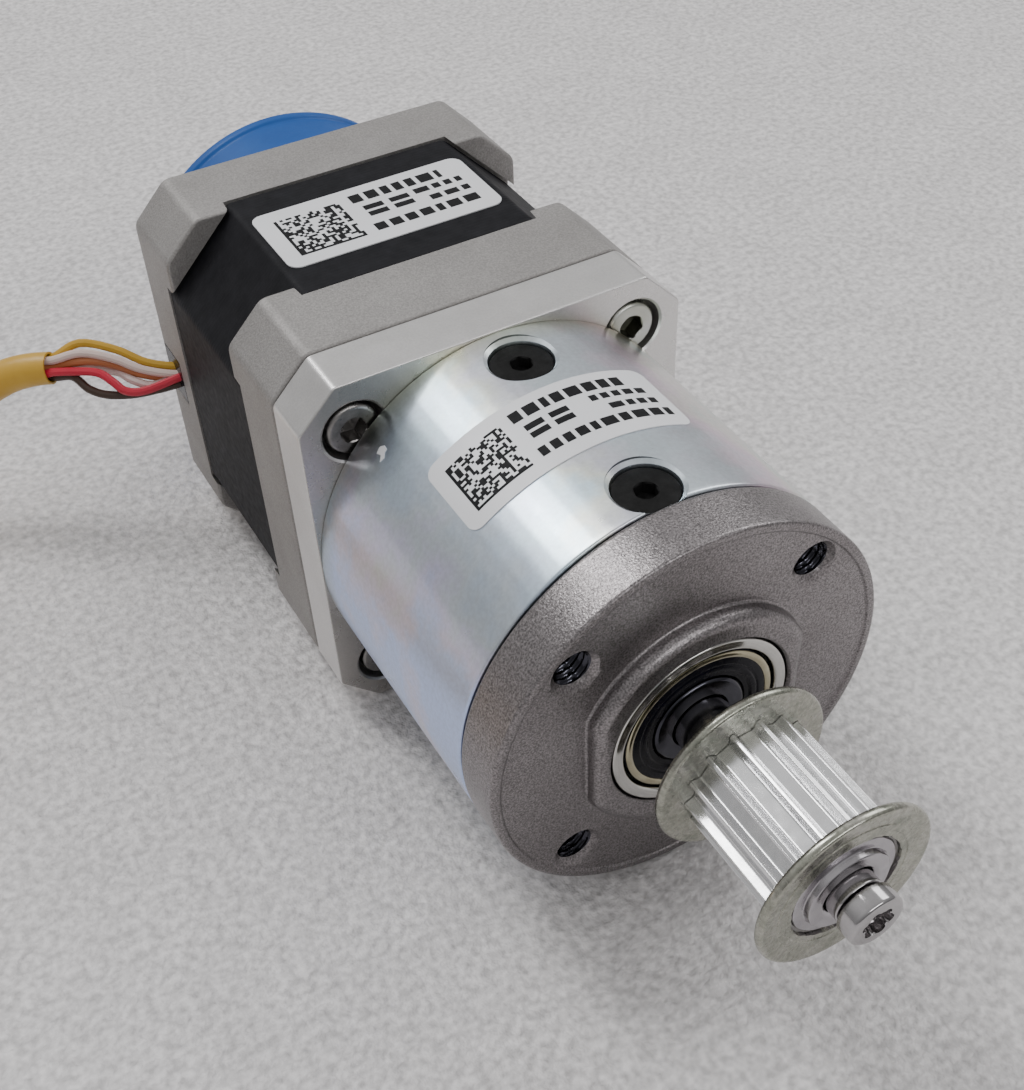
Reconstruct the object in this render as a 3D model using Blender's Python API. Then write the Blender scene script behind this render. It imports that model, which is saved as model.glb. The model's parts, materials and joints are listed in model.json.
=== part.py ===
"""A hybrid stepper motor with a two-stage planetary gearbox and a toothed-belt pulley on its output shaft.

The shaft axis runs along Y and the output points to -Y. Lengths below are in millimetres and MM turns
them into metres. "Station" means the place along Y, counted from the adapter plate's front face, so the
gearbox has negative stations and the motor positive ones. shaft_frame() puts the finished object's
underside at Z = 0 and the middle of its length at Y = 0.
"""
import math

import bmesh
import bpy
from mathutils import Matrix, Vector

for old in list(bpy.data.objects):
    bpy.data.objects.remove(old, do_unlink=True)

MM = 0.001
GAP = 0.3           # between faces that rest on each other
SNUG = 0.15         # round a screw, spigot or ring
OVERLAP = 0.4       # how far two shapes that are joined reach into each other
BEYOND = 1.0        # how far a cutter stands out of what it cuts
ROUND, MEDIUM, SMALL, FINE = 40, 24, 14, 10     # sides of a circle, by its size

# motor
SIDE = 42.3                     # across the flats of the end bells and the adapter plate
HALF = SIDE / 2
BELL_CHAMFER = 4.13
STACK_CHAMFER = 7.85
STACK_HALF = HALF - 0.15
BOLT_SPACING = 31.0
BOLT_HEAD_R, BOLT_HEAD_HEIGHT, BOLT_R, BOLT_KEY = 2.75, 1.9, 1.5, 2.5
BOLT_HOLE_R = BOLT_R + SNUG
BOLT_SEAT_R = 3.0               # counterbores in the rear bell
BOLT_REACH = 5.6                # how far a tie bolt's end lies behind the adapter
ADAPTER_THICK = 5.85
FRONT_BELL = (ADAPTER_THICK, 15.25)
STACK = (15.25, 35.7)
REAR_BELL = (35.7, 43.85)
PAD_LENGTH = 1.8                # corner pads that reach over the lamination stack
PILOT_R, PILOT_HEIGHT = 11.0, 2.0
PILOT_BORE_R, REAR_BORE_R = 5.0, 4.0
MOTOR_SHAFT_R, MOTOR_SHAFT_END, SHAFT_CHAMFER = 2.5, 51.7, 0.3
MOTOR_BEARING = (2.6, 8.0, 5.0)  # bore radius, outer radius, width
FRONT_SEAT = ADAPTER_THICK + GAP + 0.2   # the floors of the two bearing seats
REAR_SEAT = 42.45
CAVITY_R, CAVITY_DEPTH = 17.2, 4.2
REAR_BOSS_R, REAR_BOSS_BORE_R, REAR_BOSS_HEIGHT = 17.0, 14.5, 1.6
ROTOR_R, ROTOR_TEETH = 11.0, 50
ROTOR_TOOTH_DEPTH, ROTOR_TOOTH_SHARE, CUP_INSET = 0.6, 0.45, 0.7
MAGNET_R, MAGNET_LENGTH = 9.6, 1.4
STATOR_BORE_R, STATOR_POLES, TEETH_A_POLE = 11.2, 8, 6
STATOR_TOOTH_DEPTH, SHOE_DEPTH, SLOT_R = 0.7, 1.4, 17.0
WINDING_R, WINDING_HEIGHT = (12.6, 16.6), 3.4
WASHER_ROOM = 0.9               # for the wave washer behind the rear bearing
CAP_R, CAP_WALL, CAP_END = 18.4, 1.2, 56.0
CAP_LIP, CAP_LIP_WIDTH = 0.35, 1.2

# gearbox
TUBE_R = 20.95
TUBE_END = -28.55
SPIGOT_R = 18.2                 # the adapter's and the flange's spigots inside the tube
COUNTERBORE_R = SPIGOT_R + SNUG
SPIGOT_BORE_R, ADAPTER_BORE_R = 13.0, 7.0
REAR_SPIGOT = -7.7
FRONT_SPIGOT = -23.5
FLANGE_FACE = -34.45
FLANGE_ROUND = 0.9
BOSS_R, BOSS_FLAT, BOSS_FACE = 12.4, 11.2, -36.0
HOLE_CIRCLE_R = 17.4
TAPPED_R, TAPPED_MOUTH_R, TAPPED_DEPTH = 1.75, 2.4, 5.0
RADIAL_ANGLES = (90, 210, 330)
RADIAL_STATIONS = {"rear": -4.6, "front": -25.7}
RADIAL_HEAD_R, RADIAL_SHANK_R, RADIAL_KEY = 3.05, 1.5, 2.0
RADIAL_TOP, RADIAL_END = 20.1, 15.0      # how far from the shaft axis a radial screw lies
COUNTERSINK = (18.3, 19.7)
ADAPTER_ROOM_R, ADAPTER_HEAD_TOP, ADAPTER_SEAT, ADAPTER_SCREW_END = 3.3, 0.25, 3.4, 9.8

# gears: both stages use the same tooth counts and share the ring broached in the tube
MODULE = 0.9
PRESSURE_ANGLE = math.radians(25)
SUN_TEETH, PLANET_TEETH, RING_TEETH = 14, 12, 38
PLANET_ANGLES = (0, 90, 180, 270)
CENTRE_DISTANCE = MODULE * (SUN_TEETH + PLANET_TEETH) / 2
BACKLASH = 0.10                 # taken off each tooth's thickness
ADDENDUM, SUN_DEDENDUM, PLANET_DEDENDUM = 0.9 * MODULE, 1.25 * MODULE, 1.2 * MODULE
RING_ADDENDUM, RING_DEDENDUM = 0.7 * MODULE, 1.15 * MODULE
PIN_R, PIN_ROOM = 1.75, 0.2
RING = (-8.2, -22.2)
STAGE_1 = (-8.6, -13.8)         # the planets' faces
STAGE_2 = (-15.9, -21.4)
CARRIER_1 = (-14.1, -15.6)
CARRIER_2 = (-21.8, -23.2)
CARRIER_R, CARRIER_BORE_R = 15.2, 3.0

# output
OUTPUT_BEARING = (3.05, 9.5, 5.9)
SUPPORT_BEARING = (8.1, 12.9, 4.4)
SUPPORT_STATION = -23.6
OUTPUT_BEARING_STATION = -29.9
RACE_SHARE = 0.28               # of a bearing's section that each of its rings takes up
FACE_STEP, SHIELD_THICK, RING_CHAMFER = 0.1, 0.5, 0.25
SEAL_R, SEAL_SEAT, SEAL_FACES = 8.0, 0.9, (0.7, 0.2)
COVER_BORE_R = 8.0
THICK_SHAFT_R = 4.6             # between the two bearings
SHAFT_R, SHAFT_TIP_R, SHAFT_END = 2.9, 2.45, -58.2
SHOULDER = -40.9
PULLEY_TEETH = 14
PULLEY_TIP_R, PULLEY_ROOT_R = 6.37, 5.42
LAND_SHARE, FLOOR_SHARE = 0.075, 0.2     # of a pitch, from a land's middle to its edge and to the floor
PULLEY_TURN = math.radians(4.5)
PULLEY_REAR, PULLEY_FRONT = -41.4, -56.45
BELT_FLANGE_R, BELT_FLANGE_THICK = 8.9, 0.95
FLANGE_GAP = 0.1
HUB_R, HUB_RECESS_R, HUB_RECESS = 5.3, 4.4, 0.9
SCREW_HEAD_R, SCREW_HEAD_HEIGHT, SCREW_SHANK_R, SCREW_LENGTH = 2.75, 2.0, 1.0, 7.0
SCREW_HOLE_R = 1.2
LOBES, LOBE_R, LOBE_DEPTH, LOBE_SIDES = 6, 1.45, 0.28, 24

# leads
LEAD_STATION, LEAD_HEIGHT = 41.0, -1.5
BUNDLE_DIAMETER = 4.2
LEAD_SLOT, SLOT_FLOOR = (5.0, 6.0), -15.7
GROMMET_END = -16.9
COIL_MEAN_R = 21.5
COIL_CENTRE = (-81.0, 31.5)     # X and station
COIL_TURNS_WIDE, COIL_TURNS_HIGH, COIL_SIDES = 2, 1, 36
FLOOR_GAP = 0.4                 # under the coil, for the strap that ties it

# labels
MOTOR_LABEL = (24.6, 11.2)
MOTOR_LABEL_STATION = 25.5
TUBE_LABEL_ANGLES = (63.0, 129.0)
TUBE_LABEL = (-9.8, -19.25)
LABEL_THICK, LABEL_LIFT, LABEL_ROUND = 0.12, 0.05, 1.3

FRONT_END = SHAFT_END - GAP - SCREW_HEAD_HEIGHT
MIDDLE = (FRONT_END + CAP_END) / 2


# ---------------------------------------------------------------- materials

def material(name, colour, roughness, metallic):
    m = bpy.data.materials.new(name)
    m.use_nodes = True
    shader = m.node_tree.nodes["Principled BSDF"]
    shader.inputs["Base Color"].default_value = (*colour, 1.0)
    shader.inputs["Roughness"].default_value = roughness
    shader.inputs["Metallic"].default_value = metallic
    return m


CAST = material("cast_aluminium", (0.42, 0.40, 0.38), 0.6, 0.8)
MACHINED = material("machined_aluminium", (0.66, 0.66, 0.65), 0.35, 0.9)
ZINC = material("zinc_plated_steel", (0.62, 0.66, 0.70), 0.28, 0.9)
STEEL = material("steel", (0.45, 0.44, 0.43), 0.3, 1.0)
DARK_STEEL = material("black_oxide_steel", (0.02, 0.02, 0.02), 0.4, 0.6)
GEAR_STEEL = material("gear_steel", (0.35, 0.35, 0.36), 0.4, 1.0)
LAMINATION = material("black_laminations", (0.02, 0.021, 0.024), 0.45, 0.3)
COPPER = material("copper_windings", (0.60, 0.25, 0.10), 0.4, 0.8)
MAGNET = material("magnet", (0.10, 0.10, 0.11), 0.5, 0.5)
RUBBER = material("black_rubber", (0.015, 0.016, 0.02), 0.4, 0.0)
BLUE = material("blue_plastic", (0.02, 0.13, 0.50), 0.35, 0.0)
PAPER = material("label_film", (0.80, 0.81, 0.82), 0.5, 0.0)
YELLOW = material("yellow_sleeve", (0.75, 0.48, 0.06), 0.45, 0.0)


# ---------------------------------------------------------------- building blocks

def shaft_frame(x=0.0, station=0.0, z=0.0):
    """The place in metres of a point given from the shaft axis and the adapter's front face."""
    return Vector((x, station - MIDDLE, z + HALF)) * MM


def finish(name, bm, finish_material, place=(0.0, 0.0, 0.0), parent=None):
    """A smooth-shaded object from a mesh drawn in millimetres about place."""
    bmesh.ops.remove_doubles(bm, verts=bm.verts, dist=0.001)
    bmesh.ops.recalc_face_normals(bm, faces=bm.faces)
    if bm.calc_volume(signed=True) < 0:
        bmesh.ops.reverse_faces(bm, faces=bm.faces)
    bmesh.ops.scale(bm, vec=(MM, MM, MM), verts=bm.verts)
    mesh = bpy.data.meshes.new(name)
    bm.to_mesh(mesh)
    bm.free()
    mesh.shade_smooth()
    mesh.set_sharp_from_angle(angle=math.radians(28))
    mesh.materials.append(finish_material)
    made = bpy.data.objects.new(name, mesh)
    bpy.context.scene.collection.objects.link(made)
    attach(made, place, parent)
    return made


def attach(made, place, parent):
    """Stand an object at a place in the shaft frame, under its axis empty if it has one."""
    made.location = shaft_frame(*place)
    if parent:
        made.parent = parent
        made.location = shaft_frame(*place) - parent.location


def axis_empty(name):
    empty = bpy.data.objects.new(name, None)
    bpy.context.scene.collection.objects.link(empty)
    empty.location = shaft_frame()
    return empty


def circle(radius, station, sides, turn=0.0):
    """Points round the Y axis."""
    angles = [turn + 2 * math.pi * k / sides for k in range(sides)]
    return [(radius * math.cos(a), station, radius * math.sin(a)) for a in angles]


def at_station(outline, station):
    return [(x, station, z) for x, z in outline]


def add_loops(bm, loops, closed):
    """Join loops one to the next: alike ones by a wall, others, which lie in one plane, by a flat fill.
    closed joins the last to the first, and otherwise the first and the last are capped."""
    rings = [[bm.verts.new(point) for point in loop] for loop in loops]
    pairs = list(zip(rings, rings[1:]))
    if closed:
        pairs.append((rings[-1], rings[0]))
    for a, b in pairs:
        if len(a) == len(b):
            for k in range(len(a)):
                following = (k + 1) % len(a)
                bm.faces.new((a[k], a[following], b[following], b[k]))
        else:
            fill_between(bm, a, b)
    if not closed:
        bm.faces.new(rings[0])
        bm.faces.new(rings[-1])
    return rings


def fill_between(bm, *rings):
    edges = []
    for ring in rings:
        for k, vertex in enumerate(ring):
            other = ring[(k + 1) % len(ring)]
            edges.append(bm.edges.get((vertex, other)) or bm.edges.new((vertex, other)))
    bmesh.ops.triangle_fill(bm, use_beauty=True, edges=edges)


def solid(name, loops, finish_material, closed=False, place=(0.0, 0.0, 0.0), parent=None):
    bm = bmesh.new()
    add_loops(bm, loops, closed)
    return finish(name, bm, finish_material, place, parent)


def turned(name, profile, sides, finish_material, parent=None, place=(0.0, 0.0, 0.0)):
    """A lathe part: profile lists (radius, station) along its section. A ring's section is closed; a
    solid of revolution starts and ends on the axis, where its radius is 0."""
    on_axis = profile[0][0] == 0
    inner = profile[1:-1] if on_axis else profile
    loops = [circle(radius, station, sides) for radius, station in inner]
    return solid(name, loops, finish_material, not on_axis, place, parent)


def cutter(name, loops_list, closed=False):
    """Closed shapes that are cut out of another object."""
    bm = bmesh.new()
    for loops in loops_list:
        add_loops(bm, loops, closed)
    made = finish(name, bm, None)
    made.hide_render = True
    made.display_type = "WIRE"
    return made


def cut(target, tool, operation="DIFFERENCE"):
    boolean = target.modifiers.new(tool.name, "BOOLEAN")
    boolean.operation = operation
    boolean.solver = "EXACT"
    boolean.object = tool


def octagon(half, chamfer):
    """A square outline in X and Z with its corners cut off."""
    a, b = half - chamfer, half
    return [(b, a), (a, b), (-a, b), (-b, a), (-b, -a), (-a, -b), (a, -b), (b, -a)]


def corners(distance):
    return [(distance * sx, distance * sz) for sx in (1, -1) for sz in (1, -1)]


def moved(loops, x, z):
    return [[(px + x, py, pz + z) for px, py, pz in loop] for loop in loops]


def shifted(loops, station):
    return [[(x, y + station, z) for x, y, z in loop] for loop in loops]


def radial(loops, angle):
    """Loops drawn round Y, with Y as the distance from the axis, stood along a radius at an angle."""
    turn = Matrix.Rotation(math.radians(angle), 3, (0, -1, 0))
    return [[tuple(turn @ Vector((py, px, pz))) for px, py, pz in loop] for loop in loops]


def rod(radius, first, last, sides=FINE):
    return [circle(radius, first, sides), circle(radius, last, sides)]


def radial_rods(first, last, row):
    """The holes of one row of radial screws, between two distances from the axis."""
    shape = rod(RADIAL_SHANK_R + SNUG, first, last)
    return [shifted(radial(shape, angle), RADIAL_STATIONS[row]) for angle in RADIAL_ANGLES]


# ---------------------------------------------------------------- gears

def involute(angle):
    return math.tan(angle) - angle


def half_thickness(teeth, radius, internal=False):
    """Half the angle that a tooth takes up at a radius."""
    pitch_radius = MODULE * teeth / 2
    base_radius = pitch_radius * math.cos(PRESSURE_ANGLE)
    slope = math.acos(min(1.0, base_radius / radius))
    at_pitch = math.pi / (2 * teeth) - BACKLASH / (2 * pitch_radius)
    flank = involute(PRESSURE_ANGLE) - involute(slope)
    return at_pitch - flank if internal else at_pitch + flank


def gear_outline(teeth, addendum, dedendum, internal=False, space_at_zero=False):
    """An involute gear's outline in X and Z. A tooth lies on +X, or a space does."""
    pitch_radius = MODULE * teeth / 2
    sign = -1 if internal else 1
    tip, root = pitch_radius + sign * addendum, pitch_radius - sign * dedendum
    base_radius = pitch_radius * math.cos(PRESSURE_ANGLE)
    low = base_radius + 0.01
    radii = [root, tip] if internal else [root, (max(root, low) + pitch_radius) / 2, tip]
    outline = []
    for k in range(teeth):
        middle = 2 * math.pi * (k + (0.5 if space_at_zero else 0.0)) / teeth
        halves = [(r, half_thickness(teeth, max(r, low), internal)) for r in radii]
        for r, half in halves:
            outline.append((r * math.cos(middle - half), r * math.sin(middle - half)))
        for r, half in reversed(halves):
            outline.append((r * math.cos(middle + half), r * math.sin(middle + half)))
    return outline


def toothed_outline(teeth, root, tip, share, turn=0.0):
    """Straight-sided teeth, each taking up a share of its pitch."""
    outline = []
    for k in range(teeth):
        middle = turn + 2 * math.pi * k / teeth
        half = math.pi * share / teeth
        for r, a in ((root, -half * 1.15), (tip, -half), (tip, half), (root, half * 1.15)):
            outline.append((r * math.cos(middle + a), r * math.sin(middle + a)))
    return outline


def spur(name, outline, bore_r, faces, finish_material, parent, place=(0.0, 0.0, 0.0)):
    """A gear or toothed disc with a round bore, between two stations."""
    first, last = faces
    loops = [at_station(outline, first), at_station(outline, last)]
    loops += [circle(bore_r, last, FINE), circle(bore_r, first, FINE)]
    return solid(name, loops, finish_material, True, place, parent)


# ---------------------------------------------------------------- fasteners

def hexagon(across_flats, station):
    return circle(across_flats / math.sqrt(3), station, 6)


def cap_screw_loops(top, under_head, end, head_r, shank_r, key):
    """A socket-head screw along Y, drawn from its head's top."""
    chamfer, socket_depth = 0.3, key * 0.6
    way = math.copysign(1.0, end - top)
    return [
        hexagon(key, top + way * socket_depth), hexagon(key, top),
        circle(head_r - chamfer, top, SMALL), circle(head_r, top + way * chamfer, SMALL),
        circle(head_r, under_head, SMALL), circle(shank_r, under_head, FINE),
        circle(shank_r, end, FINE),
    ]


def countersunk_loops(top, end, head_r, shank_r, key):
    """A flat-head screw with Y as the distance from the shaft axis."""
    rim, socket_depth = 0.25, key * 0.6
    cone_end = top - rim - (head_r - shank_r) * 0.9
    return [
        hexagon(key, top - socket_depth), hexagon(key, top), circle(head_r, top, SMALL),
        circle(head_r, top - rim, SMALL), circle(shank_r, cone_end, SMALL), circle(shank_r, end, SMALL),
    ]


# ---------------------------------------------------------------- motor

def corner_pads(inner_chamfer, first, last):
    """The four prisms that fill a bell's corners beside the stack."""
    b, a, i = HALF, HALF - BELL_CHAMFER, HALF - inner_chamfer
    outline = [(i, b), (a, b), (b, a), (b, i)]
    pads = []
    for sx, sz in ((1, 1), (-1, 1), (-1, -1), (1, -1)):
        corner = [(x * sx, z * sz) for x, z in outline]
        pads.append([at_station(corner, first), at_station(corner, last)])
    return pads


def end_bell(name, first, last, pad_to, seat, bore_r):
    """A cast octagonal bell. The cavity and the bearing's seat open towards the stack."""
    bell = solid(name, [at_station(octagon(HALF, BELL_CHAMFER), s) for s in (first, last)], CAST)
    stack_end = last if pad_to > last else first
    way = math.copysign(1.0, pad_to - stack_end)
    cut(bell, cutter(name + "_pads", corner_pads(STACK_CHAMFER, stack_end - way * OVERLAP, pad_to)), "UNION")
    seat_r = MOTOR_BEARING[1] + SNUG
    cavity_floor = stack_end - way * CAVITY_DEPTH
    cavity = [circle(r, s, MEDIUM) for r, s in (
        (bore_r, seat - way * HALF), (bore_r, seat), (seat_r, seat), (seat_r, cavity_floor),
        (CAVITY_R, cavity_floor), (CAVITY_R, stack_end + way * BEYOND))]
    cut(bell, cutter(name + "_cavity", [cavity]))
    return bell


def front_bell():
    first, last = FRONT_BELL[0] + GAP, FRONT_BELL[1]
    bell = end_bell("front_end_bell", first, last, last + PAD_LENGTH, FRONT_SEAT, PILOT_BORE_R)
    pilot = [circle(r, s, MEDIUM) for r, s in (
        (PILOT_R, first + OVERLAP), (PILOT_R, first - PILOT_HEIGHT),
        (PILOT_BORE_R, first - PILOT_HEIGHT), (PILOT_BORE_R, first + OVERLAP))]
    cut(bell, cutter("pilot_ring", [pilot], closed=True), "UNION")
    holes = [moved(rod(BOLT_HOLE_R, first - BEYOND, last + PAD_LENGTH + BEYOND), x, z)
             for x, z in corners(BOLT_SPACING / 2)]
    cut(bell, cutter("front_bell_holes", holes))
    return bell


def rear_bell():
    first, last = REAR_BELL
    bell = end_bell("rear_end_bell", first, last, first - PAD_LENGTH, REAR_SEAT, REAR_BORE_R)
    boss = [circle(r, s, MEDIUM) for r, s in (
        (REAR_BOSS_R, last - OVERLAP), (REAR_BOSS_R, last + REAR_BOSS_HEIGHT),
        (REAR_BOSS_BORE_R, last + REAR_BOSS_HEIGHT), (REAR_BOSS_BORE_R, last - OVERLAP))]
    cut(bell, cutter("rear_boss_ring", [boss], closed=True), "UNION")
    holes = []
    seat = last - BOLT_HEAD_HEIGHT - GAP
    for x, z in corners(BOLT_SPACING / 2):
        holes.append(moved([
            circle(BOLT_HOLE_R, first - PAD_LENGTH - BEYOND, SMALL), circle(BOLT_HOLE_R, seat, SMALL),
            circle(BOLT_SEAT_R, seat, SMALL), circle(BOLT_SEAT_R, last + BEYOND, SMALL)], x, z))
    cut(bell, cutter("rear_bell_holes", holes))
    wide, high = LEAD_SLOT
    y0, y1 = LEAD_STATION - wide / 2, LEAD_STATION + wide / 2
    z0, z1 = LEAD_HEIGHT - high / 2, LEAD_HEIGHT + high / 2
    slot = [[(x, y0, z0), (x, y1, z0), (x, y1, z1), (x, y0, z1)] for x in (-HALF - BEYOND, SLOT_FLOOR)]
    cut(bell, cutter("lead_slot", [slot]))
    grommet = [[(x, y0 + SNUG, z0 + SNUG), (x, y1 - SNUG, z0 + SNUG), (x, y1 - SNUG, z1 - SNUG),
                (x, y0 + SNUG, z1 - SNUG)] for x in (-HALF, GROMMET_END)]
    solid("lead_grommet", grommet, RUBBER)
    return bell


def stator_outline():
    """The bore's poles: six teeth each, with wide slots for the windings between them."""
    pole_step = 2 * math.pi / STATOR_POLES
    tooth_pitch = 2 * math.pi / ROTOR_TEETH
    edge = tooth_pitch * (TEETH_A_POLE - 0.5) / 2
    gap_r, shoe_r = STATOR_BORE_R + STATOR_TOOTH_DEPTH, STATOR_BORE_R + SHOE_DEPTH
    neck, root = edge * 0.55, edge * 0.4
    points = []
    for tooth in range(TEETH_A_POLE):
        start = -edge + tooth * tooth_pitch
        if tooth:
            points.append((gap_r, start))
        points += [(STATOR_BORE_R, start), (STATOR_BORE_R, start + tooth_pitch / 2)]
        if tooth < TEETH_A_POLE - 1:
            points.append((gap_r, start + tooth_pitch / 2))
    side = [(shoe_r, edge), (shoe_r + SNUG, neck), (SLOT_R, root)]
    points += side + [(r, pole_step - a) for r, a in reversed(side)]
    outline = []
    for k in range(STATOR_POLES):
        for r, a in points:
            outline.append((r * math.cos(k * pole_step + a), r * math.sin(k * pole_step + a)))
    return outline


def stator():
    first, last = STACK[0] + GAP, STACK[1] - GAP
    outer = octagon(STACK_HALF, STACK_CHAMFER + SNUG)
    inner = stator_outline()
    loops = [at_station(outer, first), at_station(outer, last), at_station(inner, last),
             at_station(inner, first)]
    stack = solid("stator_stack", loops, LAMINATION, closed=True)
    shape = rod(BOLT_HOLE_R, first - BEYOND, last + BEYOND)
    holes = [moved(shape, x, z) for x, z in corners(BOLT_SPACING / 2)]
    cut(stack, cutter("stack_holes", holes))
    low, high = WINDING_R
    for name, inside, outside in (("winding_front", first - GAP, first - WINDING_HEIGHT),
                                  ("winding_rear", last + GAP, last + WINDING_HEIGHT)):
        middle = (inside + outside) / 2
        turned(name, [(low, inside), (high, inside), (high, middle), ((low + high) / 2, outside),
                      (low, middle)], MEDIUM, COPPER)
    return stack


def tie_bolts():
    under_head = REAR_BELL[1] - BOLT_HEAD_HEIGHT
    end = ADAPTER_THICK + BOLT_REACH
    loops = cap_screw_loops(REAR_BELL[1], under_head, end, BOLT_HEAD_R, BOLT_R, BOLT_KEY)
    for k, (x, z) in enumerate(corners(BOLT_SPACING / 2)):
        solid(f"tie_bolt_{k + 1}", loops, STEEL, place=(x, 0.0, z))


def bearing(prefix, size, start, way, inner_parent, sealed_apart=False):
    """Two rings. The outer one carries the shields, unless the seal is a piece of its own."""
    bore_r, outer_r, width = size
    end = start + way * width
    race = (outer_r - bore_r) * RACE_SHARE
    outer_in, inner_out = outer_r - race, bore_r + race
    if sealed_apart:
        lip, seal_seat = SEAL_R + SNUG + 0.05, end - way * SEAL_SEAT
        outer = [(outer_r, start), (outer_r, end - way * RING_CHAMFER), (outer_r - RING_CHAMFER, end),
                 (lip, end), (lip, seal_seat), (outer_in, seal_seat), (outer_in, start)]
    else:
        shield, inside = inner_out + SNUG, end - way * SHIELD_THICK
        outer = [(outer_r, start), (outer_r, end), (shield, end), (shield, inside), (outer_in, inside),
                 (outer_in, start)]
    turned(prefix + "_outer", outer, ROUND if sealed_apart else MEDIUM, STEEL)
    face = end - way * FACE_STEP
    turned(prefix + "_inner", [(inner_out, start), (inner_out, face), (bore_r, face), (bore_r, start)],
           MEDIUM, STEEL, inner_parent)
    return end


def rotor(axis):
    first, thin = STAGE_1[1] + GAP, MOTOR_SHAFT_R - SHAFT_CHAMFER
    turned("motor_shaft", [(0, 0), (thin, first), (MOTOR_SHAFT_R, first + SHAFT_CHAMFER),
                           (MOTOR_SHAFT_R, MOTOR_SHAFT_END - SHAFT_CHAMFER), (thin, MOTOR_SHAFT_END),
                           (0, 0)], MEDIUM, STEEL, axis)
    bearing("front_motor_bearing", MOTOR_BEARING, FRONT_SEAT + GAP, 1, axis)
    bearing("rear_motor_bearing", MOTOR_BEARING, REAR_SEAT - WASHER_ROOM, -1, axis)
    wave_washer(REAR_SEAT - WASHER_ROOM / 2)
    bore = MOTOR_SHAFT_R + SNUG
    middle, half_magnet = sum(STACK) / 2, MAGNET_LENGTH / 2
    low, high = middle - half_magnet, middle + half_magnet
    cups = {"rotor_cup_front": (STACK[0] + CUP_INSET, low - SNUG, 0.0),
            "rotor_cup_rear": (high + SNUG, STACK[1] - CUP_INSET, math.pi / ROTOR_TEETH)}
    for name, (first, last, turn) in cups.items():
        outline = toothed_outline(ROTOR_TEETH, ROTOR_R - ROTOR_TOOTH_DEPTH, ROTOR_R, ROTOR_TOOTH_SHARE, turn)
        spur(name, outline, bore, (first, last), GEAR_STEEL, axis)
    magnet = [(MAGNET_R, low), (MAGNET_R, high), (bore, high), (bore, low)]
    turned("rotor_magnet", magnet, MEDIUM, MAGNET, axis)
    sun = gear_outline(SUN_TEETH, ADDENDUM, SUN_DEDENDUM)
    spur("sun_gear_1", sun, bore, STAGE_1, GEAR_STEEL, axis)


def wave_washer(station):
    """A thin ring with three waves that presses the rear bearing forward."""
    sides, waves, height, thick = 18, 3, 0.12, 0.2
    outer_r, inner_r = MOTOR_BEARING[1] - 0.8, 5.4
    loops = []
    for radius, lift in ((outer_r, 0), (outer_r, thick), (inner_r, thick), (inner_r, 0)):
        loop = []
        for k, (x, y, z) in enumerate(circle(radius, station - thick / 2, sides)):
            loop.append((x, y + lift + height * math.sin(2 * math.pi * waves * k / sides), z))
        loops.append(loop)
    solid("wave_washer", loops, STEEL, closed=True)


def rear_cap():
    first, last = REAR_BELL[1] + GAP, CAP_END
    inner, skirt, lip = REAR_BOSS_R + SNUG, CAP_R - CAP_LIP, last - CAP_LIP_WIDTH
    profile = [(0, 0), (skirt, last), (CAP_R, last - CAP_LIP), (CAP_R, lip), (skirt, lip - CAP_LIP),
               (skirt, first), (inner, first), (inner, last - CAP_WALL), (0, 0)]
    turned("rear_cap", profile, ROUND, BLUE)


# ---------------------------------------------------------------- gearbox housing

def adapter():
    plate = solid("adapter_flange", [at_station(octagon(HALF, BELL_CHAMFER), s)
                                     for s in (0.0, ADAPTER_THICK)], MACHINED)
    spigot = [circle(r, s, ROUND) for r, s in (
        (SPIGOT_R, OVERLAP), (SPIGOT_R, REAR_SPIGOT), (SPIGOT_BORE_R, REAR_SPIGOT),
        (SPIGOT_BORE_R, OVERLAP))]
    cut(plate, cutter("adapter_spigot", [spigot], closed=True), "UNION")
    recess = PILOT_R + SNUG
    floor = ADAPTER_THICK - PILOT_HEIGHT - GAP
    behind = ADAPTER_THICK + BEYOND
    bore = [circle(r, s, MEDIUM) for r, s in (
        (ADAPTER_BORE_R, -BEYOND), (ADAPTER_BORE_R, floor), (recess, floor), (recess, behind))]
    cut(plate, cutter("adapter_bore", [bore]))
    holes = []
    for x, z in corners(BOLT_SPACING / 2):
        holes.append(moved([circle(r, s, SMALL) for r, s in (
            (ADAPTER_ROOM_R, -BEYOND), (ADAPTER_ROOM_R, ADAPTER_SEAT), (BOLT_HOLE_R, ADAPTER_SEAT),
            (BOLT_HOLE_R, behind))], x, z))
    holes += radial_rods(SPIGOT_BORE_R - 2 * BEYOND, TUBE_R - BEYOND, "rear")
    cut(plate, cutter("adapter_holes", holes))
    under_head = ADAPTER_SEAT - GAP
    loops = cap_screw_loops(ADAPTER_HEAD_TOP, under_head, ADAPTER_SCREW_END, BOLT_HEAD_R, BOLT_R, BOLT_KEY)
    for k, (x, z) in enumerate(corners(BOLT_SPACING / 2)):
        solid(f"adapter_screw_{k + 1}", loops, STEEL, place=(x, 0.0, z))
    return plate


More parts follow.
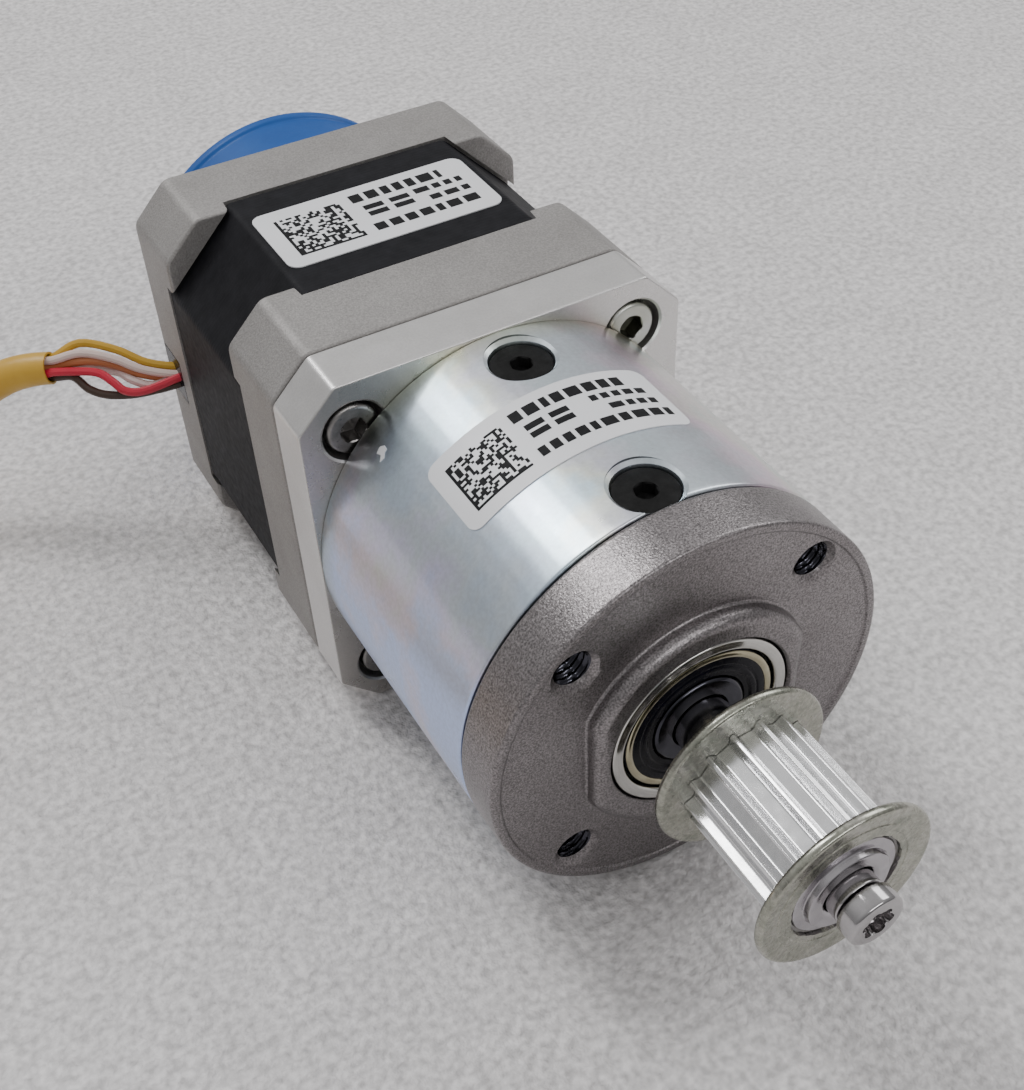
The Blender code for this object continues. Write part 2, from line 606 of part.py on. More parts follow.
def gear_tube():
    first, last = -GAP, TUBE_END
    ring = gear_outline(RING_TEETH, RING_ADDENDUM, RING_DEDENDUM, internal=True)
    loops = [
        circle(TUBE_R, first, ROUND), circle(TUBE_R, last, ROUND), circle(COUNTERBORE_R, last, ROUND),
        circle(COUNTERBORE_R, RING[1], ROUND), at_station(ring, RING[1]), at_station(ring, RING[0]),
        circle(COUNTERBORE_R, RING[0], ROUND), circle(COUNTERBORE_R, first, ROUND),
    ]
    tube = solid("ring_gear_tube", loops, ZINC, closed=True)
    shank, head = RADIAL_SHANK_R + SNUG, RADIAL_HEAD_R + SNUG
    profile = [(shank, SPIGOT_R - BEYOND), (shank, COUNTERSINK[0]), (head, COUNTERSINK[1]),
               (head, TUBE_R + BEYOND)]
    holes = []
    for station in RADIAL_STATIONS.values():
        for angle in RADIAL_ANGLES:
            shape = radial([circle(r, d, SMALL) for r, d in profile], angle)
            holes.append(shifted(shape, station))
    cut(tube, cutter("radial_holes", holes))
    loops = countersunk_loops(RADIAL_TOP, RADIAL_END, RADIAL_HEAD_R, RADIAL_SHANK_R, RADIAL_KEY)
    for row, station in RADIAL_STATIONS.items():
        for k, angle in enumerate(RADIAL_ANGLES):
            solid(f"radial_screw_{row}_{k + 1}", radial(loops, angle), DARK_STEEL, place=(0.0, station, 0.0))
    return tube


def output_flange():
    """The cast front cover: a spigot in the tube, two bearing seats, a boss with two flats."""
    seat_r, rear_seat_r = OUTPUT_BEARING[1] + SNUG, SUPPORT_BEARING[1] + SNUG
    first = TUBE_END - GAP
    shoulder = OUTPUT_BEARING_STATION + GAP
    rear_shoulder = SUPPORT_STATION - SUPPORT_BEARING[2] - GAP
    profile = [
        (SPIGOT_R, FRONT_SPIGOT), (SPIGOT_R, first), (TUBE_R, first), (TUBE_R, FLANGE_FACE + FLANGE_ROUND),
        (TUBE_R - FLANGE_ROUND / 3, FLANGE_FACE + FLANGE_ROUND / 3), (TUBE_R - FLANGE_ROUND, FLANGE_FACE),
        (BOSS_R, FLANGE_FACE), (BOSS_R, BOSS_FACE), (seat_r, BOSS_FACE), (seat_r, shoulder),
        (COVER_BORE_R, shoulder), (COVER_BORE_R, rear_shoulder), (rear_seat_r, rear_shoulder),
        (rear_seat_r, FRONT_SPIGOT),
    ]
    flange = turned("output_flange", profile, ROUND, CAST)
    flats = []
    for way in (1, -1):
        near, far = BOSS_FLAT * way, (BOSS_R + BEYOND) * way
        box = [(near, -BOSS_R), (far, -BOSS_R), (far, BOSS_R), (near, BOSS_R)]
        flats.append([at_station(box, FLANGE_FACE), at_station(box, BOSS_FACE - BEYOND)])
    cut(flange, cutter("boss_flats", flats))
    holes = []
    mouth = TAPPED_MOUTH_R - TAPPED_R
    for x, z in corners(HOLE_CIRCLE_R / math.sqrt(2)):
        holes.append(moved([circle(r, s, SMALL) for r, s in (
            (TAPPED_R, FLANGE_FACE + TAPPED_DEPTH), (TAPPED_R, FLANGE_FACE + mouth),
            (TAPPED_MOUTH_R, FLANGE_FACE), (TAPPED_MOUTH_R, FLANGE_FACE - OVERLAP))], x, z))
    holes += radial_rods(RADIAL_END - 2 * GAP, TUBE_R - BEYOND, "front")
    cut(flange, cutter("flange_holes", holes))
    return flange


# ---------------------------------------------------------------- gear stages and output

def planets(stage, faces, axis):
    """Four planets. Two face the sun with a space and two with a tooth, as the counts make them mesh."""
    for k, angle in enumerate(PLANET_ANGLES):
        outline = gear_outline(PLANET_TEETH, ADDENDUM, PLANET_DEDENDUM, space_at_zero=k % 2 == 0)
        if k % 2:
            outline = [(z, x) for x, z in outline][::-1]
        a = math.radians(angle)
        place = (CENTRE_DISTANCE * math.cos(a), 0.0, CENTRE_DISTANCE * math.sin(a))
        spur(f"planet_{stage}_{k + 1}", outline, PIN_R + PIN_ROOM, faces, GEAR_STEEL, axis, place)


def carrier_loops(faces, pin_end, centre_loops):
    """A round plate with four pins on its rear side."""
    bm = bmesh.new()
    first, last = faces
    pins = []
    for angle in PLANET_ANGLES:
        a = math.radians(angle)
        x, z = CENTRE_DISTANCE * math.cos(a), CENTRE_DISTANCE * math.sin(a)
        pins.append(moved(rod(PIN_R, first, pin_end), x, z))
    rim = add_loops(bm, [circle(CARRIER_R, first, MEDIUM), circle(CARRIER_R, last, MEDIUM)], None)
    for ring in rim:
        for face in [f for f in bm.faces if len(f.verts) == len(ring) and set(f.verts) == set(ring)]:
            bm.faces.remove(face)
    pin_rings = [[[bm.verts.new(p) for p in loop] for loop in pin] for pin in pins]
    for base, top in pin_rings:
        for k in range(len(base)):
            following = (k + 1) % len(base)
            bm.faces.new((base[k], base[following], top[following], top[k]))
        bm.faces.new(top)
    centre = [[bm.verts.new(p) for p in loop] for loop in centre_loops]
    for a, b in zip(centre, centre[1:]):
        for k in range(len(a)):
            following = (k + 1) % len(a)
            bm.faces.new((a[k], a[following], b[following], b[k]))
    return bm, rim, [base for base, _ in pin_rings], centre


def carrier_1(axis):
    first = CARRIER_1[0]
    bm, rim, bases, centre = carrier_loops(CARRIER_1, STAGE_1[0] - GAP,
                                           [circle(CARRIER_BORE_R, s, FINE) for s in CARRIER_1])
    fill_between(bm, rim[0], *bases, centre[0])
    fill_between(bm, rim[1], centre[1])
    finish("carrier_1", bm, GEAR_STEEL, parent=axis)
    outline = gear_outline(SUN_TEETH, ADDENDUM, SUN_DEDENDUM)
    hub = CARRIER_BORE_R - SNUG
    loops = [circle(hub, first, FINE), circle(hub, STAGE_2[0], FINE),
             at_station(outline, STAGE_2[0]), at_station(outline, STAGE_2[1])]
    solid("sun_gear_2", loops, GEAR_STEEL, parent=axis)


def output_shaft(axis):
    last = CARRIER_2[1]
    journal_r = SUPPORT_BEARING[0] - SNUG
    bearing_end = SUPPORT_STATION - SUPPORT_BEARING[2]
    step, tip = OUTPUT_BEARING_STATION + FACE_STEP, SHAFT_TIP_R - SHAFT_CHAMFER
    stations = [(journal_r, last), (journal_r, bearing_end), (THICK_SHAFT_R, bearing_end - SNUG),
                (THICK_SHAFT_R, step), (SHAFT_R, step), (SHAFT_R, SHOULDER), (SHAFT_TIP_R, SHOULDER),
                (SHAFT_TIP_R, SHAFT_END + SHAFT_CHAMFER), (tip, SHAFT_END), (SCREW_HOLE_R, SHAFT_END),
                (SCREW_HOLE_R, SHAFT_END + SCREW_LENGTH + BEYOND)]
    bm, rim, bases, centre = carrier_loops(CARRIER_2, STAGE_2[0] - GAP,
                                           [circle(r, s, MEDIUM) for r, s in stations])
    fill_between(bm, rim[0], *bases)
    fill_between(bm, rim[1], centre[0])
    bm.faces.new(centre[-1])
    finish("output_shaft", bm, STEEL, parent=axis)


def output_bearings(axis):
    bearing("support_bearing", SUPPORT_BEARING, SUPPORT_STATION, -1, axis)
    end = bearing("output_bearing", OUTPUT_BEARING, OUTPUT_BEARING_STATION, -1, axis, sealed_apart=True)
    inner = OUTPUT_BEARING[0] + (OUTPUT_BEARING[1] - OUTPUT_BEARING[0]) * RACE_SHARE + SNUG
    rear, front = (end + step for step in SEAL_FACES)
    turned("output_bearing_seal", [(SEAL_R, rear), (SEAL_R, front), (inner, front), (inner, rear)], ROUND,
           RUBBER)


def pulley_outline():
    """Narrow lands between wide flat-bottomed grooves."""
    outline = []
    pitch = 2 * math.pi / PULLEY_TEETH
    for k in range(PULLEY_TEETH):
        middle = k * pitch + PULLEY_TURN
        for r, share in ((PULLEY_ROOT_R, -FLOOR_SHARE), (PULLEY_TIP_R, -LAND_SHARE),
                         (PULLEY_TIP_R, LAND_SHARE), (PULLEY_ROOT_R, FLOOR_SHARE)):
            outline.append((r * math.cos(middle + share * pitch), r * math.sin(middle + share * pitch)))
    return outline


def pulley(axis):
    teeth_rear = PULLEY_REAR - BELT_FLANGE_THICK - FLANGE_GAP
    teeth_front = PULLEY_FRONT + BELT_FLANGE_THICK + FLANGE_GAP
    bore, floor = SHAFT_TIP_R + SNUG, PULLEY_FRONT + HUB_RECESS
    outline = pulley_outline()
    loops = [circle(bore, PULLEY_REAR, MEDIUM), circle(HUB_R, PULLEY_REAR, MEDIUM),
             circle(HUB_R, teeth_rear, MEDIUM), at_station(outline, teeth_rear),
             at_station(outline, teeth_front), circle(HUB_R, teeth_front, MEDIUM),
             circle(HUB_R, PULLEY_FRONT, MEDIUM), circle(HUB_RECESS_R, PULLEY_FRONT, MEDIUM),
             circle(HUB_RECESS_R, floor, MEDIUM), circle(bore, floor, MEDIUM)]
    solid("timing_pulley", loops, MACHINED, True, parent=axis)
    for name, outer, inner in (("pulley_flange_rear", PULLEY_REAR, teeth_rear + FLANGE_GAP),
                               ("pulley_flange_front", PULLEY_FRONT, teeth_front - FLANGE_GAP)):
        turned(name, [(BELT_FLANGE_R, outer), (BELT_FLANGE_R, inner), (HUB_R + SNUG, inner),
                      (HUB_R + SNUG, outer)], ROUND, ZINC, axis)
    pulley_screw(axis)


def pulley_screw(axis):
    """A round-headed screw with a six-lobed socket in the shaft's end."""
    top, under_head, edge = FRONT_END, SHAFT_END - GAP, 0.45
    angles = [2 * math.pi * k / LOBE_SIDES for k in range(LOBE_SIDES)]
    lobes = [(LOBE_R + LOBE_DEPTH * math.cos(LOBES * a), a) for a in angles]
    socket = [[(r * math.cos(a), s, r * math.sin(a)) for r, a in lobes] for s in (top + BEYOND, top)]
    loops = socket + [circle(r, s, LOBE_SIDES) for r, s in (
        (SCREW_HEAD_R - edge, top), (SCREW_HEAD_R, top + edge), (SCREW_HEAD_R, under_head))]
    loops += [circle(SCREW_SHANK_R, s, FINE) for s in (under_head, SHAFT_END + SCREW_LENGTH)]
    solid("pulley_screw", loops, STEEL, parent=axis)


# ---------------------------------------------------------------- labels and leads

def labels():
    wide, deep = MOTOR_LABEL
    radius, steps = LABEL_ROUND, 4
    outline = []
    for sx, sy, start in ((1, 1, 0), (-1, 1, 90), (-1, -1, 180), (1, -1, 270)):
        for k in range(steps + 1):
            a = math.radians(start + 90 * k / steps)
            outline.append((sx * (wide / 2 - radius) + radius * math.cos(a),
                            sy * (deep / 2 - radius) + radius * math.sin(a)))
    base = STACK_HALF + LABEL_LIFT
    loops = [[(x, MOTOR_LABEL_STATION + y, z) for x, y in outline] for z in (base, base + LABEL_THICK)]
    solid("motor_label", loops, PAPER)
    low, high = (math.radians(a) for a in TUBE_LABEL_ANGLES)
    steps, base = 12, TUBE_R + LABEL_LIFT
    top = base + LABEL_THICK
    rear, front = TUBE_LABEL
    loops = []
    for k in range(steps + 1):
        a = low + (high - low) * k / steps
        loops.append([(r * math.cos(a), s, r * math.sin(a)) for r, s in (
            (base, rear), (top, rear), (top, front), (base, front))])
    solid("gearbox_label", loops, PAPER)


def smooth_route(points, per_span):
    """A Catmull-Rom curve through the route's own points."""
    ends = [2 * points[0] - points[1], *points, 2 * points[-1] - points[-2]]
    made = []
    for k in range(1, len(ends) - 2):
        p0, p1, p2, p3 = ends[k - 1:k + 3]
        for step in range(per_span):
            t = step / per_span
            made.append(0.5 * (2 * p1 + (p2 - p0) * t + (2 * p0 - 5 * p1 + 4 * p2 - p3) * t * t
                               + (3 * p1 - p0 - 3 * p2 + p3) * t ** 3))
    made.append(points[-1])
    return made


# Where the bundle runs, as X, station and height over the surface that the object lies on.
LEAD_ROUTE = (
    (-21.8, 41.0, 19.6), (-24.8, 41.4, 19.9), (-33.6, 48.3, 20.7), (-40.5, 52.6, 18.0), (-48.0, 54.6, 11.4),
    (-56.0, 55.2, 4.6), (-65.6, 55.2, 2.6),
)


def leads():
    route = [Vector((x, y - MIDDLE, z)) * MM for x, y, z in LEAD_ROUTE]
    points = smooth_route(route, 2)
    curve = bpy.data.curves.new("lead_tube", "CURVE")
    curve.dimensions = "3D"
    curve.bevel_depth = BUNDLE_DIAMETER / 2 * MM
    curve.bevel_resolution = 2
    curve.use_fill_caps = True
    spline = curve.splines.new("POLY")
    spline.points.add(len(points) - 1)
    for knot, point in zip(spline.points, points):
        knot.co = (*point, 1.0)
    curve.materials.append(YELLOW)
    tube = bpy.data.objects.new("lead_tube", curve)
    bpy.context.scene.collection.objects.link(tube)
    x, y = COIL_CENTRE
    ring_half = BUNDLE_DIAMETER * COIL_TURNS_WIDE / 2
    top = BUNDLE_DIAMETER * COIL_TURNS_HIGH
    floor = -HALF + FLOOR_GAP
    profile = [(COIL_MEAN_R - ring_half, 0.0), (COIL_MEAN_R + ring_half, 0.0),
               (COIL_MEAN_R + ring_half, top), (COIL_MEAN_R - ring_half, top)]
    loops = [[(px, pz, r) for px, r, pz in circle(radius, height, COIL_SIDES)] for radius, height in profile]
    solid("lead_coil", loops, YELLOW, closed=True, place=(x, y, floor))


def main():
    output_axis = axis_empty("output_axis")
    carrier_axis = axis_empty("carrier_1_axis")
    rotor_axis = axis_empty("rotor_axis")
    rear_bell()
    stator()
    front_bell()
    tie_bolts()
    rotor(rotor_axis)
    rear_cap()
    adapter()
    gear_tube()
    output_flange()
    planets(1, STAGE_1, carrier_axis)
    carrier_1(carrier_axis)
    planets(2, STAGE_2, output_axis)
    output_shaft(output_axis)
    output_bearings(output_axis)
    pulley(output_axis)
    labels()
    leads()


main()
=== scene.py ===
"""The looks of a stepper motor with a planetary gearbox, a belt pulley and a sleeved lead.
"""

import json
import random
from math import atan2, copysign, cos, hypot, pi, radians, sin, sqrt

import bmesh
import bpy
from mathutils import Matrix, Vector


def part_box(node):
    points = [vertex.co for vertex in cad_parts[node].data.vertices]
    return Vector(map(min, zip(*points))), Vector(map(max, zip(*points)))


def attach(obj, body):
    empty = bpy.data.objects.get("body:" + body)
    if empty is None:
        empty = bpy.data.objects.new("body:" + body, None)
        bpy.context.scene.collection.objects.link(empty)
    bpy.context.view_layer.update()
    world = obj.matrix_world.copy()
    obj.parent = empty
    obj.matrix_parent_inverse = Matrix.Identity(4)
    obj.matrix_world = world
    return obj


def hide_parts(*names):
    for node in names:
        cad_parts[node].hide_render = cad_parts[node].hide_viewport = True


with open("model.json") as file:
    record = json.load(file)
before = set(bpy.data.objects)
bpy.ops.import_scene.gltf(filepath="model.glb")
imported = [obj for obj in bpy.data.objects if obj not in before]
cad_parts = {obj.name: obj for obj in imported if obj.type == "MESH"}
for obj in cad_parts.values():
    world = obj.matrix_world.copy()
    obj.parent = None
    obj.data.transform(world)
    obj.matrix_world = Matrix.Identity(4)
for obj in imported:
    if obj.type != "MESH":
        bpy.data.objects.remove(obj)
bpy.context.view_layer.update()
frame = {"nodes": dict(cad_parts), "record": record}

MM = 0.001
HOUSING, OUTPUT = "motor_and_housing", "output"


def box_mm(node):
    """A CAD node's lowest and highest corners, in millimetres about the shaft axis."""
    low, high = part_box(node)
    return low / MM - LIFT, high / MM - LIFT


low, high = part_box("ring_gear_tube")
LIFT = Vector((0.0, 0.0, (low.z + high.z) / 2 / MM))
TUBE, PLATE, FLANGE = box_mm("ring_gear_tube"), box_mm("adapter_flange"), box_mm("output_flange")
FRONT_BELL, REAR_BELL, STACK = box_mm("front_end_bell"), box_mm("rear_end_bell"), box_mm("stator_stack")
CAP, GROMMET, SHAFT = box_mm("rear_cap"), box_mm("lead_grommet"), box_mm("output_shaft")
PULLEY, SCREW, PLATE_SCREW = box_mm("timing_pulley"), box_mm("pulley_screw"), box_mm("adapter_screw_1")

HALF = PLATE[1].x
TUBE_R = TUBE[1].x
GAP = 0.3
CHAMFER = 4.13
STACK_CHAMFER = 7.85
STACK_HALF = STACK[1].x
BOLT = 15.5                 # a screw's distance from the shaft in X and in Z
CLEAR_R = 1.65              # room for a screw's shank
PLATE_FRONT = TUBE[1].y + GAP
PLATE_REAR = PLATE[1].y
FLANGE_REAR = TUBE[0].y - GAP
BOSS_FACE = FLANGE[0].y
FLANGE_FACE = BOSS_FACE + 1.55
STACK_FRONT, STACK_REAR = STACK[0].y - GAP, STACK[1].y + GAP
MOTOR_REAR = STACK_REAR + 8.15
ROUND, FINE = 160, 96       # sides of large and small round shapes


# ---- shapes

def soften(points, radius, steps=4, closed=False):
    """Round an outline's corners, each by as much of radius as its sides leave room for."""
    count = len(points)
    made = []
    for k, point in enumerate(points):
        if not closed and k in (0, count - 1):
            made.append(tuple(point))
            continue
        here = Vector(point)
        before, after = Vector(points[k - 1]) - here, Vector(points[(k + 1) % count]) - here
        reach = min(radius, before.length * 0.45, after.length * 0.45)
        a, b = here + before.normalized() * reach, here + after.normalized() * reach
        if reach < 1e-4 or before.angle(after) > radians(172):
            made.append(tuple(point))
            continue
        for step in range(steps + 1):
            t = step / steps
            made.append(tuple(a * (1 - t) ** 2 + here * 2 * t * (1 - t) + b * t ** 2))
    return made


def ring(radius, y, sides=ROUND, angles=None):
    """A loop round Y. radius is a number, a function of the angle, or a list with one for each angle."""
    angles = angles or [2 * pi * k / sides for k in range(sides)]
    loop = []
    for k, a in enumerate(angles):
        r = radius(a) if callable(radius) else radius[k] if isinstance(radius, list) else radius
        loop.append((r * cos(a), y, r * sin(a)))
    return loop


def skin(loops, closed=False):
    """Walls between loops of the same count, capped at both ends unless the last meets the first."""
    bm = bmesh.new()
    rings = [[bm.verts.new(p) for p in loop] for loop in loops]
    pairs = list(zip(rings, rings[1:]))
    if closed:
        pairs.append((rings[-1], rings[0]))
    for a, b in pairs:
        for k in range(len(a)):
            following = (k + 1) % len(a)
            bm.faces.new((a[k], a[following], b[following], b[k]))
    if not closed:
        bm.faces.new(rings[0])
        bm.faces.new(rings[-1])
    return bm


def turned(profile, sides=ROUND, closed=True):
    """A lathe shape. An open profile starts and ends on the axis, where it is capped."""
    return skin([ring(r, y, sides) for r, y in profile], closed)


def rectangle(x0, x1, y0, y1):
    return [(x0, y0), (x1, y0), (x1, y1), (x0, y1)]


def inset(outline, distance):
    """An outline moved inwards by a small distance."""
    count = len(outline)
    made = []
    area = sum(outline[k - 1][0] * outline[k][1] - outline[k][0] * outline[k - 1][1] for k in range(count))
    side = 1 if area > 0 else -1
    for k in range(count):
        a, p, b = (Vector(outline[(k + step) % count]) for step in (-1, 0, 1))
        into, away = (p - a).normalized(), (b - p).normalized()
        normal_in = Vector((-into.y, into.x)) * side
        normal_away = Vector((-away.y, away.x)) * side
        mitre = (normal_in + normal_away).normalized()
        made.append(tuple(p + mitre * distance / max(0.3, mitre.dot(normal_in))))
    return made


def quarter(steps):
    """A quarter circle in steps, each (1 - sin, 1 - cos)."""
    turns = [pi / 2 * k / steps for k in range(steps + 1)]
    return [(1 - sin(a), 1 - cos(a)) for a in turns]


def prism(outline, first, last, edge):
    """An outline in X and Z pulled along Y, its end edges rounded by edge."""
    levels = [(edge * s, edge * c) for s, c in quarter(3)]
    loops = [[(x, first + along, z) for x, z in inset(outline, inwards)] for inwards, along in levels]
    loops += [[(x, last - along, z) for x, z in inset(outline, inwards)]
              for inwards, along in reversed(levels)]
    return skin(loops)


def octagon(half, chamfer):
    a, b = half - chamfer, half
    return [(b, a), (a, b), (-a, b), (-b, a), (-b, -a), (-a, -b), (a, -b), (b, -a)]


def corners(distance):
    return [(distance * sx, distance * sz) for sx in (1, -1) for sz in (1, -1)]


def place(bm, x=0.0, y=0.0, z=0.0, turn=None):
    if turn is not None:
        bmesh.ops.transform(bm, matrix=turn, verts=bm.verts)
    bmesh.ops.translate(bm, vec=(x, y, z), verts=bm.verts)
    return bm


def along_radius(angle):
    """Turns a shape drawn along Y so that +Y points out from the shaft at an angle."""
    a = radians(angle)
    out, along = Vector((cos(a), 0, sin(a))), Vector((0, 1, 0))
    return Matrix((out.cross(along), out, along)).transposed().to_4x4()


def put(name, data):
    made = bpy.data.objects.new(name, data)
    bpy.context.scene.collection.objects.link(made)
    return made


def to_object(name, bm):
    bmesh.ops.remove_doubles(bm, verts=bm.verts, dist=1e-5)
    bmesh.ops.recalc_face_normals(bm, faces=bm.faces)
    mesh = bpy.data.meshes.new(name)
    bm.to_mesh(mesh)
    bm.free()
    return put(name, mesh)


def carve(target, bm, operation="DIFFERENCE"):
    """Cut a shape out of an object in millimetres, or join it on."""
    tool = to_object("tool", bm)
    boolean = target.modifiers.new("cut", "BOOLEAN")
    boolean.solver = "EXACT"
    boolean.operation = operation
    boolean.object = tool
    result = bpy.data.meshes.new_from_object(target.evaluated_get(bpy.context.evaluated_depsgraph_get()))
    target.modifiers.clear()
    target.data = result
    bpy.data.objects.remove(tool)


def finish(made, look, *replaced, body=HOUSING, slot=None, smooth=32):
    """Metres, shading and material; then the body that the piece rides on and the CAD nodes it replaces."""
    if isinstance(made, tuple):
        made = to_object(*made)
    made.data.transform(Matrix.Translation(LIFT * MM) @ Matrix.Scale(MM, 4))
    made.data.shade_smooth()
    made.data.set_sharp_from_angle(angle=radians(smooth))
    weighted = made.modifiers.new("even shading", "WEIGHTED_NORMAL")
    weighted.keep_sharp = True
    made.data.materials.clear()
    made.data.materials.append(look)
    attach(made, body)
    if replaced:
        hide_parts(*replaced)
    return made


# ---- materials

def add(tree, kind, inputs=None, **settings):
    made = tree.nodes.new("ShaderNode" + kind)
    for key, value in settings.items():
        setattr(made, key, value)
    for key, value in (inputs or {}).items():
        if isinstance(value, bpy.types.NodeSocket):
            tree.links.new(value, made.inputs[key])
        else:
            made.inputs[key].default_value = value
    return made


def noise(tree, scale, detail=3.0, stretch=None):
    """Noise of a scale counted per millimetre, stretched along the axes if asked."""
    coordinates = add(tree, "TexCoord").outputs["Object"]
    if stretch:
        coordinates = add(tree, "Mapping", {"Vector": coordinates, "Scale": stretch}).outputs[0]
    return add(tree, "TexNoise", {"Vector": coordinates, "Scale": scale / MM, "Detail": detail,
                                  "Roughness": 0.6}).outputs["Fac"]


def coordinate(tree, axis, space="Object"):
    """A point's place along one axis."""
    spot = add(tree, "TexCoord").outputs[space]
    return add(tree, "SeparateXYZ", {"Vector": spot}).outputs[axis]


def ramp(tree, fac, stops):
    """A colour, or a grey from a plain number, for each place that the stops name."""
    made = add(tree, "ValToRGB", {"Fac": fac})
    elements = made.color_ramp.elements
    while len(elements) < len(stops):
        elements.new(0.5)
    for element, (at, colour) in zip(elements, stops):
        element.position = at
        element.color = (*colour, 1.0) if not isinstance(colour, (int, float)) else (colour,) * 3 + (1.0,)
    return made.outputs["Color"]


def spread(tree, fac, low, high, start=0.3, end=0.7):
    """A value from start to end, spread over low to high."""
    return add(tree, "MapRange", {"Value": fac, "From Min": start, "From Max": end, "To Min": low,
                                  "To Max": high}).outputs["Result"]


def multiplied(tree, colour, factor):
    """A colour made lighter and darker by a grey factor."""
    mix = add(tree, "Mix", data_type="RGBA", blend_type="MULTIPLY")
    mix.inputs["Factor"].default_value = 1.0
    tree.links.new(colour, mix.inputs["A"])
    tree.links.new(factor, mix.inputs["B"])
    return mix.outputs["Result"]


def look(name, slot, stops, blotch, roughness, metallic=0.0, grain=(), stretch=None, speckle=None,
         drift=None, tint_band=None, **fixed):
    """A material.

    stops colour the blotches, blotch is their scale, roughness is a pair, grain lists (scale, height in mm),
    speckle is (scale, darkest, lightest). With drift, (reach in metres, share of the blotches), the stops
    follow one another across X. stain is (where it is full, where it has faded, colour) along Y, in metres.
    What is left sets the shader's own sockets.
    """
    made = bpy.data.materials.new(name)
    made.use_nodes = True
    made["slot"] = slot
    tree = made.node_tree
    shader = tree.nodes["Principled BSDF"]
    shader.inputs["Metallic"].default_value = metallic
    for key, value in fixed.items():
        shader.inputs[key.replace("_", " ")].default_value = value
    patches = noise(tree, blotch, 4.0, stretch)
    if drift:
        reach, share = drift
        across = spread(tree, coordinate(tree, "X"), 0.0, 1.0, -reach, reach)
        shift = spread(tree, patches, -share / 2, share / 2, 0.2, 0.8)
        patches = add(tree, "Math", {0: across, 1: shift}, operation="ADD").outputs[0]
    colour = ramp(tree, patches, stops)
    if speckle:
        scale, darkest, lightest = speckle
        colour = multiplied(tree, colour, spread(tree, noise(tree, scale, 1.0), darkest, lightest))
    if tint_band:
        full, faded, tint = tint_band
        fade = spread(tree, coordinate(tree, "Y"), 0.0, 1.0, full, faded)
        colour = multiplied(tree, colour, ramp(tree, fade, [(0.0, tint), (1.0, 1.0)]))
    tree.links.new(colour, shader.inputs["Base Color"])
    gloss = spread(tree, noise(tree, blotch * 2.3, 4.0, stretch), *roughness)
    tree.links.new(gloss, shader.inputs["Roughness"])
    normal = None
    for scale, height in grain:
        inputs = {"Height": noise(tree, scale, 2.0, stretch), "Distance": height * MM, "Strength": 1.0}
        if normal:
            inputs["Normal"] = normal
        normal = add(tree, "Bump", inputs).outputs["Normal"]
    if normal:
        tree.links.new(normal, shader.inputs["Normal"])
    return made


def tones(dark, light):
    """The stops of a surface that varies between two colours."""
    return [(0.3, dark), (0.7, light)]


CAST = look("bead blasted casting", "cast_aluminium", tones((0.315, 0.302, 0.293), (0.365, 0.352, 0.343)),
    0.12, (0.55, 0.66), 0.8, [(5.0, 0.03), (2.5, 0.02)], speckle=(4.5, 0.86, 1.12))
DARK_CAST = look("dark casting", "cast_aluminium", tones((0.222, 0.204, 0.206), (0.272, 0.253, 0.256)),
    0.12, (0.29, 0.37), 0.92, [(5.2, 0.04), (1.6, 0.02)], speckle=(5.4, 0.55, 1.45))
PLATE_LOOK = look("machined plate", "machined_aluminium", tones((0.70, 0.685, 0.675), (0.77, 0.755, 0.745)),
    0.12, (0.28, 0.37), 0.95, [(6.0, 0.004)], speckle=(5.0, 0.95, 1.04))
# The plate's front face, its left part darkened as a painted dark reflection of the tube.
PLATE_FACE_PAINTED_REFLECTION = look("plate face with painted dark reflection", "machined_aluminium",
                  [(0.05, (0.50, 0.48, 0.455)), (0.32, (0.43, 0.41, 0.38)), (0.58, (0.70, 0.685, 0.675)),
                   (0.95, (0.77, 0.755, 0.745))], 0.12, (0.24, 0.33), 0.95, [(6.0, 0.004)],
                  speckle=(5.0, 0.95, 1.04), drift=(0.021, 0.25))
# The tube's plating: its end next to the plate is yellower and darker, fading over 3.2 mm.
ZINC = look("bright zinc plate", "zinc_plated_steel",
            [(0.02, (0.58, 0.69, 0.97)), (0.09, (0.70, 0.69, 0.86)), (0.15, (0.65, 0.71, 0.77)),
             (0.22, (0.60, 0.69, 0.80)), (0.31, (0.60, 0.74, 0.82)), (0.38, (0.76, 0.79, 0.74)),
             (0.44, (0.72, 0.73, 0.80)), (0.52, (0.68, 0.76, 0.81)), (0.62, (0.69, 0.74, 0.80)),
             (0.74, (0.81, 0.69, 0.79)), (0.82, (0.80, 0.77, 0.75)), (0.92, (0.67, 0.77, 0.74))],
            0.09, (0.27, 0.34), 1.0, [(2.5, 0.002)], speckle=(2.2, 0.93, 1.04), drift=(0.021, 0.32),
            tint_band=(PLATE_FRONT * MM, (PLATE_FRONT - 3.2) * MM, (0.86, 0.84, 0.66)))
YELLOW_ZINC = look("passivated zinc", "zinc_plated_steel",
                   [(0.32, (0.52, 0.53, 0.46)), (0.55, (0.62, 0.63, 0.60)), (0.7, (0.55, 0.57, 0.60))], 0.2,
                   (0.26, 0.42), 1.0, [(3.0, 0.006)])
RIM_LOOK = look("mottled zinc", "zinc_plated_steel",
                [(0.3, (0.30, 0.31, 0.26)), (0.5, (0.42, 0.42, 0.36)), (0.7, (0.50, 0.49, 0.44))], 0.45,
                (0.17, 0.36), 1.0, [(3.0, 0.008), (0.8, 0.02)], speckle=(2.4, 0.8, 1.1))
PULLEY_LOOK = look("turned aluminium", "machined_aluminium", tones((0.80, 0.80, 0.81), (0.88, 0.88, 0.89)),
    0.4, (0.16, 0.26), 1.0, [(5.0, 0.003)])
